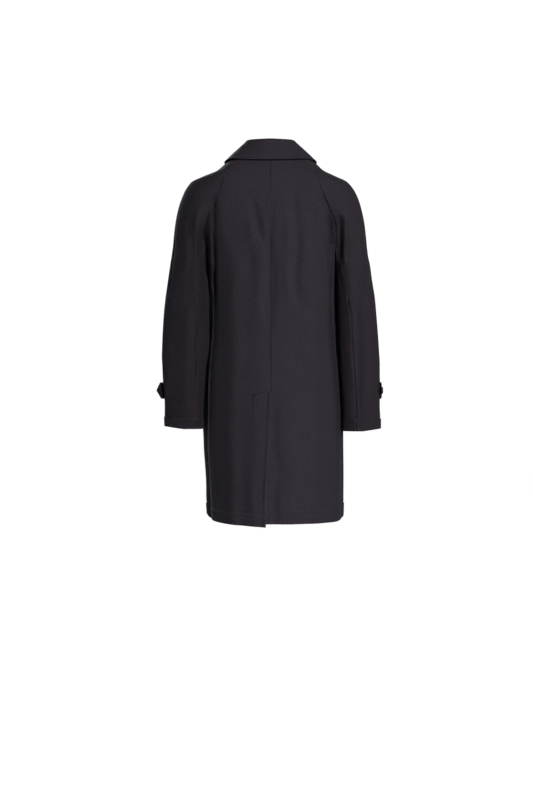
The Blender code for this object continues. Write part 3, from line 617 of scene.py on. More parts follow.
def row_handles(across, inward, turn, fullness):
    """Lengths of a row's two curve handles, as for an arc of an ellipse that ends at the given turn."""
    cut_cosine = 1 / (max(math.tan(turn) * across / inward, LEAST_TURN) - 1)
    cut = math.acos(cut_cosine)
    half_width, half_depth = across / math.sin(cut), inward / (1 - cut_cosine)
    share = fullness / ELLIPSE_FULLNESS * 4 / 3 * math.tan(cut / 4)
    return share * half_width, share * math.hypot(half_width * cut_cosine, half_depth * math.sin(cut))


def hem_rise(face):
    """How far the hem rises over a row: towards the side seam, and on the front most just before it."""
    rise = HEM_RISE * BODY_STEPS ** HEM_RISE_STEEP
    if face < 0:
        fade = ease(1 - BODY_STEPS, *FRONT_RISE_AT_SEAM)
        rise = rise + FRONT_HEM_RISE * fade * ease(BODY_STEPS, *FRONT_RISE_AHEAD)
    return rise


def body_grid(side, face, lap_steps):
    """Rows from hem to neck of one half of the back or front, with a lap that follows the other half."""
    rows = []
    for level in BODY_LEVELS:
        half = body_row(side, face, level, BODY_STEPS)
        half[:, 2] += hem_rise(face) * ease(-level, -HEM_RISE_FROM, -HEM)
        lap = body_row(OTHER[side], face, level, lap_steps)
        rows.append(np.concatenate((lap, half)))
    return np.array(rows)


def upper_sleeve_grid(side):
    """Rows from neck to cuff, columns from the rear seam over the outer side to the front seam."""
    rows = []
    shares = graded(SLEEVE_COLUMNS)
    for level in tuple(reversed(YOKE_LEVELS)) + arm_levels(side):
        rear, front = seam_angles(side, level)
        rows.append(arm_points(side, level, rear + (front - rear) * shares))
    return np.array(rows)


def under_sleeve_grid(side):
    """Rows from the armhole's lower edge to the cuff, columns from the rear seam to the front seam."""
    armhole = (FORK,) + ARMHOLE_LEVELS
    behind = [armhole_point(side, level, 1) for level in armhole]
    before = [armhole_point(side, level, -1) for level in reversed(armhole[:-1])]
    top = np.array(behind + before)
    shares = np.concatenate((ARMHOLE_SHARES / 2, 1 - ARMHOLE_SHARES[-2::-1] / 2))
    rows = [top]
    for level in arm_levels(side):
        rear, front = seam_angles(side, level)
        ring = arm_points(side, level, rear + (360 + front - rear) * shares)
        settled = ease(-level, -FORK, -UNDER_SLEEVE_SETTLED)
        sag = UNDER_SLEEVE_SAG * math.sin(math.pi * settled)
        row = top * (1 - settled) + ring * settled
        row[:, 2] -= sag * np.sin(math.pi * shares)
        row += (1 - shares[:, None]) ** UNDER_SLEEVE_HOLD * (ring[0] - row[0])
        row += shares[:, None] ** UNDER_SLEEVE_HOLD * (ring[-1] - row[-1])
        rows.append(row)
    return np.array(rows)


def grid_normals(grid, turn):
    """Outward normals of a grid of points."""
    return turn * unit(np.cross(np.gradient(grid, axis=0), np.gradient(grid, axis=1)))


def fold_shift(points):
    """How the folds move each point, straight out towards the side they are seen from."""
    shift = np.zeros(points.shape)
    wander_start = 0.0
    for look, folds in FOLDS.items():
        axis, depth_axis, way, begin, full = LOOK[look]
        seen = ease(way * points[..., depth_axis], begin, full)
        for across_top, z_top, across_low, z_low, half_width, size in folds:
            top = np.array((across_top, z_top))
            run = np.array((across_low, z_low)) - top
            flat = points[..., (axis, 2)] - top
            along = np.clip(flat @ run / (run @ run), 0.0, 1.0)
            away = flat - along[..., None] * run
            turn = 2 * math.pi * points[..., 2] / FOLD_WANDER_LENGTH + wander_start
            away[..., 0] += FOLD_WANDER * half_width * np.sin(turn)
            strength = (1 + FOLD_UNEVEN * np.sin(FOLD_UNEVEN_RATE * turn)) * ease(along, 0, FOLD_FADE)
            strength = strength * ease(1 - along, 0, FOLD_FADE) * seen
            profile = np.exp(-(np.linalg.norm(away, axis=-1) / half_width) ** 2)
            shift[..., depth_axis] += way * size * strength * profile
            wander_start += FOLD_WANDER_START
    return shift


def drape_height(points):
    """The cloth's slow unevenness, long down the coat and short across it."""
    height = np.zeros(points.shape[:-1])
    for size, across, down in DRAPE:
        scaled = points.reshape(-1, 3) * np.array((1 / across, 1 / across, 1 / down))
        waves = np.array([noise.noise(place) for place in scaled.tolist()])
        height += size * waves.reshape(height.shape)
    return height


def place_key(point):
    """Key that two panels share at a seam point."""
    return tuple(np.round(point * SEAM_MATCH).astype(int))


def rim_indices(grid):
    """Row and column numbers of the points round a grid's rim."""
    rim = np.zeros(grid.shape[:2], dtype=bool)
    rim[(0, -1), :] = True
    rim[:, (0, -1)] = True
    return np.argwhere(rim)


def seam_sums(panels, item):
    """Sum and count of a grid value over the panels that share each seam point."""
    sums = {}
    for panel in panels.values():
        for place, key in panel["keys"].items():
            total, count = sums.get(key, (0.0, 0))
            sums[key] = (total + panel[item][place], count + 1)
    return sums


def shared_normals(panels):
    """Normals of each panel, turned to the seam's mean where two panels run on smoothly."""
    for panel in panels.values():
        panel["own"] = grid_normals(panel["grid"], panel["turn"])
        panel["normal"] = panel["own"].copy()
    sums = seam_sums(panels, "own")
    for panel in panels.values():
        for place, key in panel["keys"].items():
            own = panel["own"][place]
            mean = unit(sums[key][0])
            smooth = ease(mean @ own, SEAM_FOLDED, SEAM_SMOOTH)
            panel["normal"][place] = unit(own * (1 - smooth) + mean * smooth)
        if panel["upright"]:
            panel["normal"][..., 2] *= ease(panel["grid"][..., 2], *UPRIGHT_BELOW)
            panel["normal"] = unit(panel["normal"])


def close_seams(panels):
    """Bring the panels together again at the seam points that the folds have moved apart."""
    sums = seam_sums(panels, "grid")
    for panel in panels.values():
        for place, key in panel["keys"].items():
            total, count = sums[key]
            panel["grid"][place] = total / count


def seam_keys(panel):
    """Keys of the points where a panel may meet another, by row and column."""
    places = {tuple(place) for place in rim_indices(panel["grid"]).tolist()}
    places.update((row, panel["centre"]) for row in range(panel["grid"].shape[0]))
    return {place: place_key(panel["grid"][place]) for place in sorted(places)}


def lengths_along(grid, axis, start=0):
    """Distance of each point from a row or column, measured on the cloth."""
    steps = np.linalg.norm(np.diff(grid, axis=axis), axis=-1)
    total = np.cumsum(steps, axis=axis)
    pad = [(0, 0), (0, 0)]
    pad[axis] = (1, 0)
    total = np.pad(total, pad)
    return np.abs(total - np.take(total, [start], axis=axis))


def seam_lift(distance, along, rise):
    """Outward shape beside a seam: a groove, a soft shoulder over the seam turnings and small puckers."""
    lift = -GROOVE_DEPTH * np.exp(-(distance / GROOVE_WIDTH) ** 2)
    lift = lift + rise * np.exp(-((distance - SHOULDER_AT) / SHOULDER_WIDTH) ** 2)
    turn = 2 * math.pi * along / PUCKER_LENGTH
    pucker = np.sin(turn + PUCKER_DRIFT * np.sin(turn / PUCKER_DRIFT_LENGTH))
    return lift + PUCKER_HEIGHT * pucker * np.exp(-distance / PUCKER_REACH)


def turn_up_lift(distance, turn_up):
    """Outward shape of a turned-up hem: a thicker edge with a dent where it is stitched."""
    past = distance - turn_up
    lift = TURN_UP_RISE * (1 - ease(past, *TURN_UP_SLOPE))
    return lift - STITCH_DENT * np.exp(-(past / STITCH_DENT_WIDTH) ** 2)


def all_cells(grid):
    """A mark for every cell of a grid."""
    return np.ones((grid.shape[0] - 1, grid.shape[1] - 1), dtype=bool)


def new_panel(grid, turn, centre=0, upright=False):
    """A cloth panel: its grid, the way it faces, its centre column and whether its normals lie level."""
    panel = {"grid": grid, "turn": turn, "centre": centre, "upright": upright}
    panel["keys"] = seam_keys(panel)
    panel["keep"] = all_cells(grid)
    panel["free"] = np.zeros(grid.shape[:2], dtype=bool)
    panel["thick"] = np.full(grid.shape[:2], CLOTH)
    return panel


def coat_panels():
    """Grids of the eight cloth panels, with the folds and laps in them."""
    panels = {}
    for side, sign in SIGN.items():
        for face, name in ((1, "back_"), (-1, "front_")):
            lap_steps = () if name + side == "back_left" else LAP_STEPS
            grid = body_grid(side, face, lap_steps)
            panels[name + side] = new_panel(grid, sign * face, len(lap_steps), True)
        panels["sleeve_upper_" + side] = new_panel(upper_sleeve_grid(side), -sign)
        panels["sleeve_under_" + side] = new_panel(under_sleeve_grid(side), sign)
    shared_normals(panels)
    for panel in panels.values():
        shift = fold_shift(panel["grid"]) + panel["normal"] * drape_height(panel["grid"])[..., None]
        for side in SIGN:
            from_underarm = np.linalg.norm(panel["grid"] - side_point(side, UNDERARM), axis=-1)
            shift = shift * ease(from_underarm, *UNDERARM_CALM)[..., None]
        panel["grid"] = panel["grid"] + shift
    close_seams(panels)
    shared_normals(panels)
    for name, panel in panels.items():
        finish_seams(name, panel)
    close_seams(panels)
    lay_vent(panels["back_left"], panels["back_right"])
    lay_front(panels["front_left"], panels["front_right"])
    return panels


def finish_seams(name, panel):
    """Press the seams of a panel and turn up its hem or cuff."""
    grid = panel["grid"]
    down = lengths_along(grid, 0)
    last = grid.shape[1] - 1
    lift = np.zeros(grid.shape[:2])
    low_enough = ease(-grid[..., 2], *SHOULDER_FROM)
    pressed = GROOVE_AT_NECK + (1 - GROOVE_AT_NECK) * low_enough
    if name.startswith("sleeve"):
        rise = SHOULDER_RISE["sleeve"] * low_enough
        relief = pressed * SLEEVE_RELIEF[name.rsplit("_", 1)[1]]
        for column in (0, last):
            lift += relief * seam_lift(lengths_along(grid, 1, column), down, rise)
        turn_up, edge_row = CUFF_TURN_UP, -1
    else:
        below, above = ease(BODY_LEVELS, *SIDE_SEAM_FROM), ease(BODY_LEVELS, FORK, FORK + RAGLAN_SEAM_TO)
        rise = SHOULDER_RISE["body"] * low_enough
        lift += pressed * (below + above)[:, None] * seam_lift(lengths_along(grid, 1, last), down, rise)
        turn_up, edge_row = HEM_TURN_UP, 0
        if name.startswith("back"):
            rise = SHOULDER_RISE["centre"]
            above_vent = ease(BODY_LEVELS - VENT_TOP, -CENTRE_SEAM_END, CENTRE_SEAM_END)[:, None]
            lift += above_vent * seam_lift(lengths_along(grid, 1, panel["centre"]), down, rise)
    from_edge = lengths_along(grid, 0, grid.shape[0] - 1) if edge_row else down
    lift += turn_up_lift(from_edge, turn_up)
    panel["thick"] += TURN_UP_CLOTH * (1 - ease(from_edge - turn_up, *TURN_UP_CLOTH_SLOPE))
    panel["free"][edge_row] = True
    panel["grid"] = grid + panel["normal"] * lift[..., None]


def vent_lift(grid):
    """Outward shape of the left half at the vent: a rolled edge, the tack's crease and the lap behind it."""
    levels = BODY_LEVELS[:, None]
    from_edge = lengths_along(grid, 1)
    lift = VENT_ROLL_RISE * (1 - ease(from_edge, *VENT_ROLL_BAND))
    lift = lift - VENT_ROLL_DROP * (1 - ease(from_edge, 0.0, VENT_ROLL_EDGE))
    lift = lift * ease(levels, VENT_TOP, VENT_TOP - VENT_ROLL_START)
    run = VENT_TACK_TO - VENT_TACK_FROM
    flat = grid[..., (0, 2)] - VENT_TACK_FROM
    along = np.clip(flat @ run / (run @ run), 0.0, 1.0)
    away = np.linalg.norm(flat - along[..., None] * run, axis=-1)
    from_end = np.linalg.norm(grid[..., (0, 2)] - VENT_TACK_TO, axis=-1)
    lift = lift - VENT_TACK_DENT * np.exp(-(away / VENT_TACK_WIDTH) ** 2)
    lift = lift - VENT_DIMPLE * np.exp(-(from_end / VENT_DIMPLE_WIDTH) ** 2)
    below_tack = flat[..., 0] / run[0] * run[1] - flat[..., 1]
    within = VENT_TACK_TO[0] - grid[..., 0]
    lap = ease(below_tack, 0.0, VENT_TACK_WIDTH) * ease(within, 0.0, VENT_TACK_WIDTH)
    return lift + VENT_LAP_RISE * lap * (1 - ease(levels, *VENT_LAP_SHOWS))


def lay_vent(over, under):
    """Open the vent: the left edge swings aside and drops, the right half passes under it."""
    levels = BODY_LEVELS[:, None]
    over["grid"] = over["grid"] + over["normal"] * vent_lift(over["grid"])[..., None]
    open_share = ease(levels, VENT_TOP, HEM)
    low_share = ease(levels, VENT_DROP_FROM, HEM)
    over["grid"][..., 0] += VENT_SWING * open_share * (1 - BODY_STEPS) ** VENT_SWING_FADE
    over["grid"][..., 2] -= VENT_DROP * low_share * (1 - BODY_STEPS) ** VENT_DROP_FADE
    over["free"][BODY_LEVELS < VENT_TOP, 0] = True
    from_centre = under["grid"][..., 0] - under["grid"][:, under["centre"], None, 0]
    depth = ease(from_centre, -VENT_LAP_BLEND, -VENT_LAP_FLAT) * ease(levels, VENT_TOP, VENT_LAP_TOP)
    under["grid"] = under["grid"] - under["normal"] * (LAP_DEPTH * depth)[..., None]
    under["keep"][BODY_LEVELS[1:] > VENT_LAP_TOP, :under["centre"]] = False
    under["free"][BODY_LEVELS <= VENT_LAP_TOP, 0] = True


def lay_front(over, under):
    """Sink the right front under the left front's lap."""
    from_centre = under["grid"][..., 0] - under["grid"][:, under["centre"], None, 0]
    depth = ease(from_centre, -FRONT_LAP - FRONT_LAP_BLEND, -FRONT_LAP - FRONT_LAP_FLAT)
    under["grid"] = under["grid"] - under["normal"] * (LAP_DEPTH * depth)[..., None]
    over["free"][:, 0] = True
    under["free"][:, 0] = True


def rim_ways(grid, keep):
    """Unit directions out of the cloth at the rim of the kept cells, zero elsewhere."""
    cells = np.pad(keep, 1)
    ways = np.zeros(grid.shape)
    above = np.stack((cells[:-1, :-1], cells[:-1, 1:]))
    below = np.stack((cells[1:, :-1], cells[1:, 1:]))
    sides = (
        (above.any(axis=0) & ~below.any(axis=0), -1, 0),
        (below.any(axis=0) & ~above.any(axis=0), 1, 0),
        ((above[0] | below[0]) & ~(above[1] | below[1]), 0, -1),
        ((above[1] | below[1]) & ~(above[0] | below[0]), 0, 1),
    )
    for mask, down, along in sides:
        for row, column in np.argwhere(mask):
            ways[row, column] += unit(grid[row, column] - grid[row + down, column + along])
    return ways


def smooth_mesh(name, points, faces):
    """A smooth mesh from points and faces."""
    mesh = bpy.data.meshes.new(name)
    mesh.from_pydata(points, [], faces)
    mesh.polygons.foreach_set("use_smooth", np.ones(len(mesh.polygons), dtype=bool))
    return mesh


def wall_mesh(name, outer, inner, rim_way, keep, places):
    """A closed wall of cloth between two grids, rounded at the rim where it has a way out."""
    middle = (outer + inner) / 2 + rim_way * EDGE_ROUND
    rows, columns = outer.shape[:2]
    number = np.arange(rows * columns).reshape(rows, columns)
    corners = np.stack((number[:-1, :-1], number[1:, :-1], number[1:, 1:], number[:-1, 1:]), axis=-1)[keep]
    across = np.cross(np.gradient(outer, axis=0), np.gradient(outer, axis=1))
    if np.sum(across * (outer - inner)) < 0:
        corners = corners[:, ::-1]
    edges = {}
    for corner in corners.tolist():
        for first, second in zip(corner, corner[1:] + corner[:1]):
            if (second, first) in edges:
                del edges[(second, first)]
            else:
                edges[(first, second)] = True
    rim = np.array(list(edges))
    count = rows * columns
    faces = corners.tolist() + (corners[:, ::-1] + count).tolist()
    for low, high in ((0, 2 * count), (2 * count, count)):
        quads = np.stack((rim[:, 1] + low, rim[:, 0] + low, rim[:, 0] + high, rim[:, 1] + high), axis=-1)
        faces += quads.tolist()
    points = np.concatenate([part.reshape(-1, 3) for part in (outer, inner, middle)])
    used = np.unique(np.concatenate([np.ravel(face) for face in faces]))
    renumber = np.zeros(len(points), dtype=int)
    renumber[used] = np.arange(len(used))
    mesh = smooth_mesh(name, points[used].tolist(), [renumber[face].tolist() for face in faces])
    layer = mesh.uv_layers.new(name="cloth_metres")
    loops = np.zeros(len(mesh.loops), dtype=int)
    mesh.loops.foreach_get("vertex_index", loops)
    flat = np.concatenate([places.reshape(-1, 2)] * 3)[used]
    layer.uv.foreach_set("vector", flat[loops].astype(np.float32).ravel())
    mesh.update()
    return mesh


def add_piece(name, mesh, material, node=None):
    """Link a finished mesh as a piece that rides on the coat's one body."""
    piece = bpy.data.objects.new(name, mesh)
    mesh.materials.append(material)
    bpy.context.scene.collection.objects.link(piece)
    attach(piece, "root")
    if node:
        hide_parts(node)
    return piece


def cloth_piece(name, outer, inner, rim_way, keep, places, material):
    """A wool piece on its CAD node's form."""
    mesh = wall_mesh(name + "_wool", outer, inner, rim_way, keep, places)
    return add_piece(name + "_wool", mesh, material, name)


def cloth_places(grid):
    """Distance along a grid's row and column at each point, for the weave."""
    return np.stack((lengths_along(grid, 1), lengths_along(grid, 0)), axis=-1)


def make_cloth(name, panel, material):
    """The wool piece of one panel."""
    grid, keep, normal = panel["grid"], panel["keep"], panel["normal"]
    ways = rim_ways(grid, keep)
    outer = grid - ways * SEAM_GAP / 2
    inner = outer - normal * panel["thick"][..., None]
    ways = ways * panel["free"][..., None]
    return cloth_piece(name, outer, inner, ways, keep, cloth_places(grid), material)


def along_line(marks, lengths, points):
    """Points of a line at marks along it, from the length along it at each of its points."""
    return np.stack([np.interp(marks, lengths, points[:, axis]) for axis in range(3)], axis=-1)


def collar_half(side, panel):
    """Neck seam points, fall edge points and distance share (0 back, 1 front end) of half the collar."""
    neck, edge, share = [], [], []
    front_edge = panel["grid"][-1, panel["centre"]:]
    for place in np.linspace(0, 1, COLLAR_BACK_COLUMNS + 1):
        neck.extend(body_row(side, 1, 0.0, [place]))
        edge.extend(body_row(side, 1, FALL_BACK + (FALL_SIDE - FALL_BACK) * place ** 2, [place]))
        share.append(COLLAR_BACK_SHARE * place)
    rear, front = seam_angles(side, 0.0)
    low_rear, low_front = seam_angles(side, FALL_SIDE)
    for place in np.linspace(0, 1, COLLAR_SHOULDER_COLUMNS + 1)[1:]:
        neck.extend(arm_points(side, 0.0, [rear + (front - rear) * place]))
        edge.extend(arm_points(side, FALL_SIDE, [low_rear + (low_front - low_rear) * place]))
        share.append(COLLAR_BACK_SHARE + (COLLAR_SHOULDER_SHARE - COLLAR_BACK_SHARE) * place)
    for step in graded(COLLAR_FRONT_COLUMNS)[1:]:
        neck.append(along_line(1 - (1 - COLLAR_END_STEP) * step, BODY_STEPS, front_edge))
        edge.extend(body_row(side, -1, FALL_SIDE - FALL_POINT_DROP * step, [1 - FALL_POINT_INSET * step]))
        share.append(COLLAR_SHOULDER_SHARE + (1 - COLLAR_SHOULDER_SHARE) * step)
    return neck, edge, share


def collar_section(stand, lean, reach, fall):
    """Centre line of the folded collar as (out, up) from the neck seam, and its outward unit normals."""
    inward, upward = STAND_MIDDLE
    foot = np.array((0.0, SEAM_GAP))
    middle = np.array((-inward * lean, upward * stand))
    top = np.array((-lean, stand - ROLL_RADIUS))
    t = np.linspace(0, 1, STAND_ROWS)[:-1, None]
    rise = (1 - t) * (1 - 2 * t) * foot + 4 * t * (1 - t) * middle + t * (2 * t - 1) * top
    centre = top + np.array((ROLL_RADIUS, 0.0))
    end_turn = math.atan2(reach - centre[0], centre[1] - fall)
    turns = np.linspace(math.pi, end_turn, ROLL_ROWS)
    roll = centre + ROLL_RADIUS * np.stack((np.cos(turns), np.sin(turns)), axis=-1)
    steps = graded(COLLAR_FALL_ROWS)[1:, None]
    drop = roll[-1] + (np.array((reach, fall)) - roll[-1]) * steps + FALL_BULGE * np.sin(math.pi * steps)
    line = np.concatenate((rise, roll, drop))
    ahead = unit(np.gradient(line, axis=0))
    return line, np.stack((-ahead[:, 1], ahead[:, 0]), axis=-1)


def make_collar(panels, material):
    """The collar: stand and fall folded from one piece, with an edge stitched line."""
    halves = [collar_half(side, panels["front_" + side]) for side in SIGN]
    neck, edge, share = [np.array(left[::-1] + right[1:]) for left, right in zip(*halves)]
    out = unit((edge - neck) * np.array((1.0, 1.0, 0.0)))
    lift = unit(np.cross(edge - neck, np.gradient(edge, axis=0)))
    clear = FALL_CLEAR_BACK + (FALL_CLEAR_FRONT - FALL_CLEAR_BACK) * ease(share, *FALL_CLEAR_BAND)
    edge = edge + lift * clear[:, None]
    up = np.array((0.0, 0.0, 1.0))
    lines, ways = [], []
    for column, front_share in enumerate(share):
        stand = STAND_BACK + STAND_SIDE_RISE * ease(front_share, *STAND_SIDE_BAND)
        stand = stand + (STAND_FRONT - stand) * ease(front_share, *STAND_FRONT_BAND)
        lean = STAND_LEAN * (LEAN_BACK_SHARE + (1 - LEAN_BACK_SHARE) * ease(front_share, *STAND_LEAN_BAND))
        lean = lean * (1 - (1 - LEAN_FRONT_SHARE) * ease(front_share, COLLAR_SHOULDER_SHARE, 1.0))
        reach = (edge[column] - neck[column]) @ out[column]
        line, way = collar_section(stand, lean, reach, edge[column][2] - neck[column][2])
        lines.append(neck[column] + line[:, :1] * out[column] + line[:, 1:] * up)
        ways.append(way[:, :1] * out[column] + way[:, 1:] * up)
    grid, ways = np.array(lines), np.array(ways)
    last_row, last_column = grid.shape[0] - 1, grid.shape[1] - 1
    from_ends = np.minimum(lengths_along(grid, 0, 0), lengths_along(grid, 0, last_row))
    from_edge = np.minimum(lengths_along(grid, 1, last_column), from_ends)
    dent = -STITCH_DENT * np.exp(-((from_edge - COLLAR_STITCH) / STITCH_DENT_WIDTH) ** 2)
    dent[:, :last_column // PLAIN_STAND_PART] = 0.0
    outer = grid + ways * (COLLAR_CLOTH / 2 + dent + drape_height(grid) * COLLAR_DRAPE)[..., None]
    inner = grid - ways * COLLAR_CLOTH / 2
    free = np.zeros(grid.shape[:2], dtype=bool)
    free[:, -1] = True
    free[(0, -1), :] = True
    keep = all_cells(grid)
    rim_way = rim_ways(outer, keep) * free[..., None]
    piece = cloth_piece("collar", outer, inner, rim_way, keep, cloth_places(grid)[..., ::-1], material)
    return piece, outer, ways


def line_at(outer, ways, distance):
    """A line on the collar at a distance from its fall edge, and the cloth's normals along it."""
    from_edge = lengths_along(outer, 1, outer.shape[1] - 1)
    points, normals = [
        np.array([along_line(distance, away[::-1], row[::-1]) for away, row in zip(from_edge, rows)])
        for rows in (outer, ways)
    ]
    return points, unit(normals)


def make_tab(side, panel, material):
    """A cuff tab on the upper sleeve with a free pointed end: it, its face, and its button's seat."""
    levels = np.array(tuple(reversed(YOKE_LEVELS)) + arm_levels(side))
    rows = np.flatnonzero((levels <= TAB_TOP + LEVEL_SLACK) & (levels >= TAB_LOW - LEVEL_SLACK))
    columns = np.flatnonzero(graded(SLEEVE_COLUMNS) >= 1 - TAB_REACH[side] - LEVEL_SLACK)[::-1]
    base, normals = [panel[item][np.ix_(rows, columns)] for item in ("grid", "normal")]
    middle_row = len(rows) // 2
    level_normal = unit(normals[middle_row, -1] * np.array((1.0, 1.0, 0.0)))
    heading = SIGN[side] * np.array((-level_normal[1], level_normal[0], 0.0))
    leave = SIGN[side] * unit(np.cross(heading, base[0, -1] - base[-1, -1]))
    straight = np.linspace(0, TAB_FREE - TAB_POINT, TAB_STEPS)[1:]
    runs = np.concatenate((straight, straight[-1] + TAB_POINT * graded(TAB_POINT_COLUMNS)[1:]))
    narrow = 1 - (1 - TAB_TIP_SHARE) * np.clip((runs - TAB_FREE + TAB_POINT) / TAB_POINT, 0, 1)
    root = base[:, -1:]
    axis = (root[0] + root[-1]) / 2
    free = axis + (root - axis) * narrow[:, None] + heading * runs[:, None]
    base = np.concatenate((base, free), axis=1)
    normals = np.concatenate((unit(normals), np.broadcast_to(leave, free.shape)), axis=1)
    inner = base + normals * SEAM_GAP
    outer = base + normals * (SEAM_GAP + TAB_CLOTH)
    keep = all_cells(base)
    rim_way = rim_ways(base, keep)
    piece = cloth_piece("cuff_tab_" + side, outer, inner, rim_way, keep, cloth_places(base), material)
    seat = (outer[0, -1] + outer[-1, -1]) / 2 - heading * TAB_BUTTON_FROM_POINT
    return piece, outer, normals, seat, leave


def tab_stitch_line(outer, normals):
    """The stitched line inside a tab's edge, from the sleeve seam round the point and back."""
    inset = TAB_STITCH / np.linalg.norm(outer[0, 0] - outer[-1, 0])
    shares = np.linspace(0, 1, outer.shape[0])
    columns = range(outer.shape[1] - TAB_STITCH_STOP)
    there = [along_line(inset, shares, outer[:, column]) for column in columns]
    back = [along_line(1 - inset, shares, outer[:, column]) for column in columns]
    ways = [normals[0, column] for column in columns]
    return np.array(there + back[::-1]), np.array(ways + ways[::-1])


def resampled(points, normals, pitch):
    """Places, headings and normals at a pitch along a line."""
    steps = np.linalg.norm(np.diff(points, axis=0), axis=-1)
    length = np.concatenate(([0.0], np.cumsum(steps)))
    marks = np.arange(pitch / 2, length[-1], pitch)
    heading = along_line(marks + pitch / 4, length, points) - along_line(marks - pitch / 4, length, points)
    return along_line(marks, length, points), unit(heading), unit(along_line(marks, length, normals))


def stitch_shape():
    """One stitch as a small tapered bead along X: its points and faces."""
    reach, dip = STITCH_END
    points = [(-reach, 0.0, dip)]
    for along, size in STITCH_RINGS:
        for turn in range(STITCH_SIDES):
            angle = 2 * math.pi * turn / STITCH_SIDES
            points.append((along, size * math.cos(angle), size * math.sin(angle)))
    points.append((reach, 0.0, dip))
    last_ring = len(points) - 1 - STITCH_SIDES
    faces = []
    for turn in range(STITCH_SIDES):
        after = (turn + 1) % STITCH_SIDES
        faces.append((0, 1 + after, 1 + turn))
        for ring in range(1, last_ring, STITCH_SIDES):
            following = ring + STITCH_SIDES
            faces.append((ring + turn, ring + after, following + after, following + turn))
        faces.append((last_ring + turn, last_ring + after, len(points) - 1))
    return np.array(points), faces


def make_stitches(name, lines, material, kind="seam"):
    """Rows of stitches of one kind as one piece. Each line is a pair of points and normals."""
    length, pitch, radius = STITCH[kind]
    shape, shape_faces = stitch_shape()
    points, faces = [], []
    for line, normals in lines:
        for place, ahead, way in zip(*resampled(line, normals, pitch)):
            side = unit(np.cross(way, ahead))
            along, beside = (side, -ahead) if kind == "buttonhole" else (ahead, side)
            first = len(points)
            bead = place + shape[:, :1] * length * along + shape[:, 1:2] * radius * beside
            points.extend((bead + (shape[:, 2:] + STITCH_PROUD) * radius * way).tolist())
            faces.extend(tuple(first + corner for corner in face) for face in shape_faces)
    mesh = smooth_mesh(name, points, faces)
    mesh.update()
    add_piece(name, mesh, material)


def select_faces_up(least):
    """Select the faces of the mesh in edit mode that look up at least so much."""
    shape = bmesh.from_edit_mesh(bpy.context.object.data)
    for face in shape.faces:
        face.select = face.normal.z > least
    shape.select_flush_mode()
    bmesh.update_edit_mesh(bpy.context.object.data)


def make_button(name, kind, seat, normal, material):
    """A turned four-hole button with a rim and a dished middle, set on the cloth."""
    radius, thick = BUTTON_RADIUS[kind], BUTTON_THICK[kind]
    bpy.ops.object.select_all(action="DESELECT")
    middle = (0, 0, thick / 2)
    bpy.ops.mesh.primitive_cylinder_add(vertices=BUTTON_SIDES, radius=radius, depth=thick, location=middle)
    button = bpy.context.object
    button.name = name + "_horn"
    bpy.ops.object.transform_apply()
    bpy.ops.object.mode_set(mode="EDIT")
    bpy.ops.mesh.select_mode(type="FACE")
    select_faces_up(FACES_UP)
    bpy.ops.mesh.inset(thickness=RIM_SHARE * radius)
    bpy.ops.mesh.inset(thickness=RIM_SHARE * radius * DISH_SLOPE)
    bpy.ops.transform.translate(value=(0, 0, -DISH_SHARE * thick))
    bpy.ops.mesh.inset(thickness=RIM_SHARE * radius * DISH_FLOOR_IN)
    bpy.ops.transform.translate(value=(0, 0, -DISH_SHARE * thick * DISH_FLOOR_DOWN))
    bpy.ops.object.mode_set(mode="OBJECT")
    bevel = button.modifiers.new("edges", "BEVEL")
    bevel.width = BUTTON_EDGE * thick
    bevel.segments = BUTTON_EDGE_STEPS
    bevel.limit_method = "ANGLE"
    bpy.ops.object.modifier_apply(modifier=bevel.name)
    spread = HOLE_SPREAD * radius
    for across in (-spread, spread):
        for along in (-spread, spread):
            drill_hole(button, (across, along, thick / 2), HOLE_SHARE * radius, DRILL_LENGTH * thick)
    bpy.context.view_layer.objects.active = button
    button.select_set(True)
    bpy.ops.object.shade_smooth_by_angle(angle=BUTTON_SMOOTH)
    turn = Vector(normal).to_track_quat("Z", "Y").to_matrix().to_4x4()
    turn.translation = Vector(seat + normal * BUTTON_SEAT)
    button.data.transform(turn)
    button.data.materials.clear()
    button.data.materials.append(material)
    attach(button, "root")
    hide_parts(name)
    return thread_lines(turn, radius, thick)


def drill_hole(button, place, radius, depth):
    """Cut one sewing hole through a button."""
    bpy.ops.object.select_all(action="DESELECT")
    bpy.ops.mesh.primitive_cylinder_add(vertices=HOLE_SIDES, radius=radius, depth=depth, location=place)
    drill = bpy.context.object
    cut = button.modifiers.new("hole", "BOOLEAN")
    cut.object = drill
    cut.operation = "DIFFERENCE"
    cut.solver = "EXACT"
    bpy.context.view_layer.objects.active = button
    bpy.ops.object.modifier_apply(modifier=cut.name)
    bpy.data.objects.remove(drill, do_unlink=True)


def thread_lines(turn, radius, thick):
    """Two bars of sewing thread across a button's holes, as lines with normals."""
    spread = HOLE_SPREAD * radius
    height = thick * (1 - THREAD_SINK * DISH_SHARE)
    lines = []
    for along in (-1, 1):
        ends = [turn @ Vector((across * spread, along * spread, height)) for across in (-1, 1)]
        way = (turn.to_3x3() @ Vector((0, 0, 1))).normalized()
        lines.append((np.array(ends), np.array((way, way))))
    return lines


def nearest_on(panel, place):
    """The point of a panel's outer face nearest to a place, and the normal there."""
    away = np.linalg.norm(panel["grid"] - place, axis=-1)
    row, column = np.unravel_index(np.argmin(away), away.shape)
    return panel["grid"][row, column], panel["normal"][row, column]


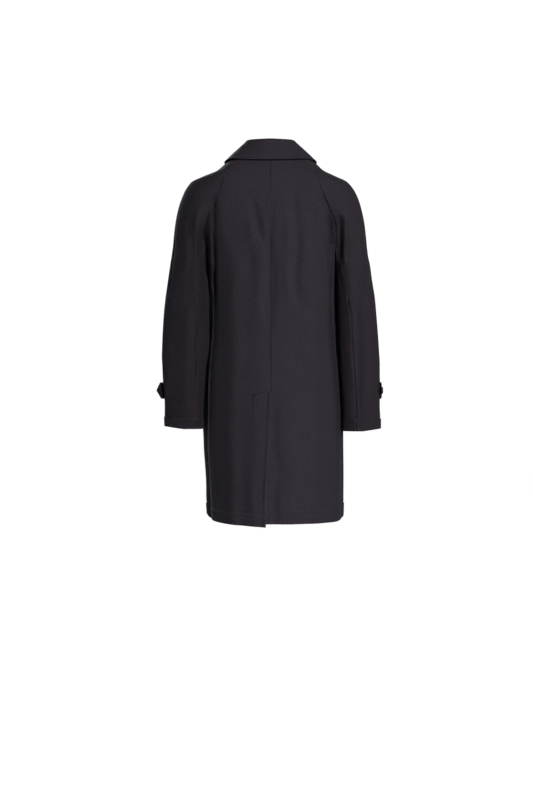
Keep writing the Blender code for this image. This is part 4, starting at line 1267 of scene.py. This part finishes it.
def buttonhole_lines(piece, kind, seat, normal, heading):
    """The two stitched edges of a buttonhole, from a button's seat along a heading, with normals."""
    heading = unit(heading - normal * (heading @ normal))
    lines = []
    for side in (-1, 1):
        found = []
        for step in np.linspace(0, BUTTONHOLE[kind], BUTTONHOLE_POINTS) - BUTTONHOLE_BEFORE:
            place = seat + heading * step + np.cross(normal, heading) * side * BUTTONHOLE_SPREAD
            found.append(piece.closest_point_on_mesh(Vector(place))[1:3])
        lines.append([np.array(part) for part in zip(*found)])
    return lines


def centre_of(node):
    """Middle of a CAD node's box."""
    low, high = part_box(node)
    return np.array((low + high) / 2)


def set_values(node, settings):
    """Set a shader node's options and its unlinked inputs."""
    for name, value in settings.items():
        if name in node.bl_rna.properties:
            setattr(node, name, value)
        else:
            node.inputs[name.replace("_", " ")].default_value = value


def add_node(tree, kind, **settings):
    """A new shader node with its options and unlinked inputs."""
    node = tree.nodes.new(kind)
    set_values(node, settings)
    return node


def join(tree, start, output, end, socket):
    """Link one node's output to another's input."""
    tree.links.new(start.outputs[output], end.inputs[socket])


def new_material(name, finish):
    """A material with a finish, its node tree and its shader."""
    material = bpy.data.materials.new(name)
    material.use_nodes = True
    shader = material.node_tree.nodes["Principled BSDF"]
    set_values(shader, finish)
    return material, material.node_tree, shader


def shade_ramp(tree, places, shades):
    """A colour ramp between two shades at two places."""
    ramp = tree.nodes.new("ShaderNodeValToRGB")
    for end, place, shade in zip(ramp.color_ramp.elements, places, shades):
        end.position = place
        end.color = shade
    return ramp


def wool_group():
    """Node group of the wool's surface: a shade mask from nap and mottling, and a height from the weave."""
    tree = bpy.data.node_groups.new("wool_surface", "ShaderNodeTree")
    tree.interface.new_socket("Cloth", in_out="INPUT", socket_type="NodeSocketVector")
    tree.interface.new_socket("Shade", in_out="OUTPUT", socket_type="NodeSocketFloat")
    tree.interface.new_socket("Height", in_out="OUTPUT", socket_type="NodeSocketFloat")
    source = tree.nodes.new("NodeGroupInput")
    target = tree.nodes.new("NodeGroupOutput")
    twill = add_node(tree, "ShaderNodeTexWave", wave_type="BANDS", bands_direction="DIAGONAL", **TWILL)
    fibre, mottle, cloud = [add_node(tree, "ShaderNodeTexNoise", **grain) for grain in (FIBRE, MOTTLE, CLOUD)]
    for texture in (twill, fibre, mottle, cloud):
        join(tree, source, "Cloth", texture, "Vector")
    near, far, weave = [
        add_node(tree, "ShaderNodeMix", data_type="FLOAT", Factor=share)
        for share in (MOTTLE_SHARE, CLOUD_SHARE, FIBRE_IN_WEAVE)
    ]
    join(tree, fibre, "Fac", near, "A")
    join(tree, mottle, "Fac", near, "B")
    join(tree, near, "Result", far, "A")
    join(tree, cloud, "Fac", far, "B")
    join(tree, far, "Result", target, "Shade")
    join(tree, twill, "Fac", weave, "A")
    join(tree, fibre, "Fac", weave, "B")
    join(tree, weave, "Result", target, "Height")
    return tree


def wool_material(group):
    """Dark navy wool with a soft nap."""
    material, tree, shader = new_material("navy_wool", WOOL_FINISH)
    cloth = add_node(tree, "ShaderNodeUVMap", uv_map="cloth_metres")
    surface = add_node(tree, "ShaderNodeGroup", node_tree=group)
    ramp = shade_ramp(tree, WOOL_SHADES_AT, (WOOL_DARK, WOOL_LIGHT))
    bump = add_node(tree, "ShaderNodeBump", **WEAVE_BUMP)
    join(tree, cloth, "UV", surface, "Cloth")
    join(tree, surface, "Shade", ramp, "Fac")
    join(tree, ramp, "Color", shader, "Base Color")
    join(tree, surface, "Height", bump, "Height")
    join(tree, bump, "Normal", shader, "Normal")
    return material


def thread_material():
    """Navy sewing thread with its twist; its lighter shade is partly a painted sheen on the thread."""
    material, tree, shader = new_material("navy_thread", THREAD_FINISH)
    place = tree.nodes.new("ShaderNodeTexCoord")
    twist = add_node(tree, "ShaderNodeTexNoise", **TWIST)
    ramp = shade_ramp(tree, THREAD_SHADES_AT, (THREAD_DARK, THREAD_PALE_AND_SHEEN))
    join(tree, place, "Object", twist, "Vector")
    join(tree, twist, "Fac", ramp, "Fac")
    join(tree, ramp, "Color", shader, "Base Color")
    return material


def horn_material():
    """Dark polished horn with long streaks."""
    material, tree, shader = new_material("dark_horn", {})
    place = tree.nodes.new("ShaderNodeTexCoord")
    growth = add_node(tree, "ShaderNodeMapping", **HORN_GROWTH)
    streak = add_node(tree, "ShaderNodeTexNoise", **STREAK)
    ramp = shade_ramp(tree, HORN_SHADES_AT, (HORN_DARK, HORN_LIGHT))
    gloss = add_node(tree, "ShaderNodeMapRange", **HORN_GLOSS)
    join(tree, place, "Object", growth, "Vector")
    join(tree, growth, "Vector", streak, "Vector")
    join(tree, streak, "Fac", ramp, "Fac")
    join(tree, ramp, "Color", shader, "Base Color")
    join(tree, streak, "Fac", gloss, "Value")
    join(tree, gloss, "Result", shader, "Roughness")
    return material


def level_line(panel, levels, level, first_row=0):
    """A line of stitching along a panel's row nearest to a level. The levels are those from first_row on."""
    row = first_row + int(np.argmin(np.abs(np.array(levels) - level)))
    return panel["grid"][row], panel["normal"][row]


def vent_tack_line(panel):
    """The slanting tack across the top of the vent."""
    outermost = panel["grid"][:, 0, 1].max()
    places = np.linspace(VENT_TACK_FROM, VENT_TACK_TO, VENT_TACK_POINTS)
    found = [nearest_on(panel, np.array((across, outermost, level))) for across, level in places]
    return [np.array(part) for part in zip(*found)]


def make_stage():
    """A pale floor, soft studio light and a camera square on to the back."""
    scene = bpy.context.scene
    bpy.ops.object.select_all(action="DESELECT")
    bpy.ops.mesh.primitive_plane_add(size=FLOOR_SIZE, location=(0, 0, FLOOR_LEVEL))
    floor = bpy.context.object
    floor.name = "floor"
    paper, tree, shader = new_material("pale_paper", FLOOR_FINISH)
    join(tree, tree.nodes.new("ShaderNodeLightPath"), "Is Camera Ray", shader, "Emission Color")
    floor.data.materials.append(paper)
    world = bpy.data.worlds.new("studio")
    scene.world = world
    world.use_nodes = True
    tree = world.node_tree
    seen = add_node(tree, "ShaderNodeBackground", **BACKDROP)
    lit = tree.nodes["Background"]
    set_values(lit, ROOM_LIGHT)
    mix = tree.nodes.new("ShaderNodeMixShader")
    join(tree, tree.nodes.new("ShaderNodeLightPath"), "Is Camera Ray", mix, "Fac")
    join(tree, lit, "Background", mix, 1)
    join(tree, seen, "Background", mix, 2)
    join(tree, mix, "Shader", tree.nodes["World Output"], "Surface")
    for name, place, aim, width, height, spread, power, colour in LIGHTS:
        lamp = bpy.data.lights.new(name, "AREA")
        lamp.shape = "RECTANGLE"
        lamp.size = width
        lamp.size_y = height
        lamp.spread = math.radians(spread)
        lamp.energy = power
        lamp.color = colour
        holder = bpy.data.objects.new(name, lamp)
        holder.location = place
        holder.rotation_euler = (Vector(aim) - Vector(place)).to_track_quat("-Z", "Y").to_euler()
        scene.collection.objects.link(holder)
    lens = bpy.data.cameras.new("camera")
    lens.lens = CAMERA_LENS
    lens.sensor_width = CAMERA_SENSOR
    camera = bpy.data.objects.new("camera", lens)
    camera.location = CAMERA_PLACE
    camera.rotation_euler = (math.pi / 2, 0.0, math.pi)
    scene.collection.objects.link(camera)
    scene.camera = camera
    scene.view_settings.view_transform = "Standard"


def main():
    """Build the coat's looks around the frame."""
    make_stage()
    wool = wool_material(wool_group())
    thread = thread_material()
    horn = horn_material()
    panels = coat_panels()
    cloth = {name: make_cloth(name, panel, wool) for name, panel in panels.items()}
    cloth["collar"], collar_face, collar_ways = make_collar(panels, wool)
    make_stitches("collar_stitching", [line_at(collar_face, collar_ways, COLLAR_STITCH)], thread)
    body = ("back_left", "back_right", "front_left", "front_right")
    hems = [level_line(panels[name], BODY_LEVELS, HEM + HEM_TURN_UP) for name in body]
    make_stitches("hem_stitching", hems, thread)
    cuffs, tabs, bars, holes = [], [], [], []
    for side in SIGN:
        upper, tab = panels["sleeve_upper_" + side], "cuff_tab_" + side
        for panel, first_row in ((upper, len(YOKE_LEVELS)), (panels["sleeve_under_" + side], 1)):
            cuffs.append(level_line(panel, arm_levels(side), CUFF[side] + CUFF_TURN_UP, first_row))
        cloth[tab], face, ways, seat, leave = make_tab(side, upper, wool)
        tabs.append(tab_stitch_line(face, ways))
        bars += make_button("cuff_button_" + side, "cuff", seat, leave, horn)
        tab_run = face[face.shape[0] // 2, 0] - face[face.shape[0] // 2, -1]
        bpy.context.view_layer.update()
        holes += buttonhole_lines(cloth[tab], "cuff", seat, leave, tab_run)
    make_stitches("cuff_stitching", cuffs, thread)
    make_stitches("tab_stitching", tabs, thread, "tab")
    make_stitches("vent_tack", [vent_tack_line(panels["back_left"])], thread)
    for number in range(FRONT_BUTTONS):
        node = f"front_button_{number + 1}"
        seat, normal = nearest_on(panels["front_left"], centre_of(node))
        bars += make_button(node, "front", seat, normal, horn)
        holes += buttonhole_lines(cloth["front_left"], "front", seat, normal, np.array((1.0, 0.0, 0.0)))
    make_stitches("button_thread", bars, thread, "bar")
    make_stitches("buttonholes", holes, thread, "buttonhole")


main()
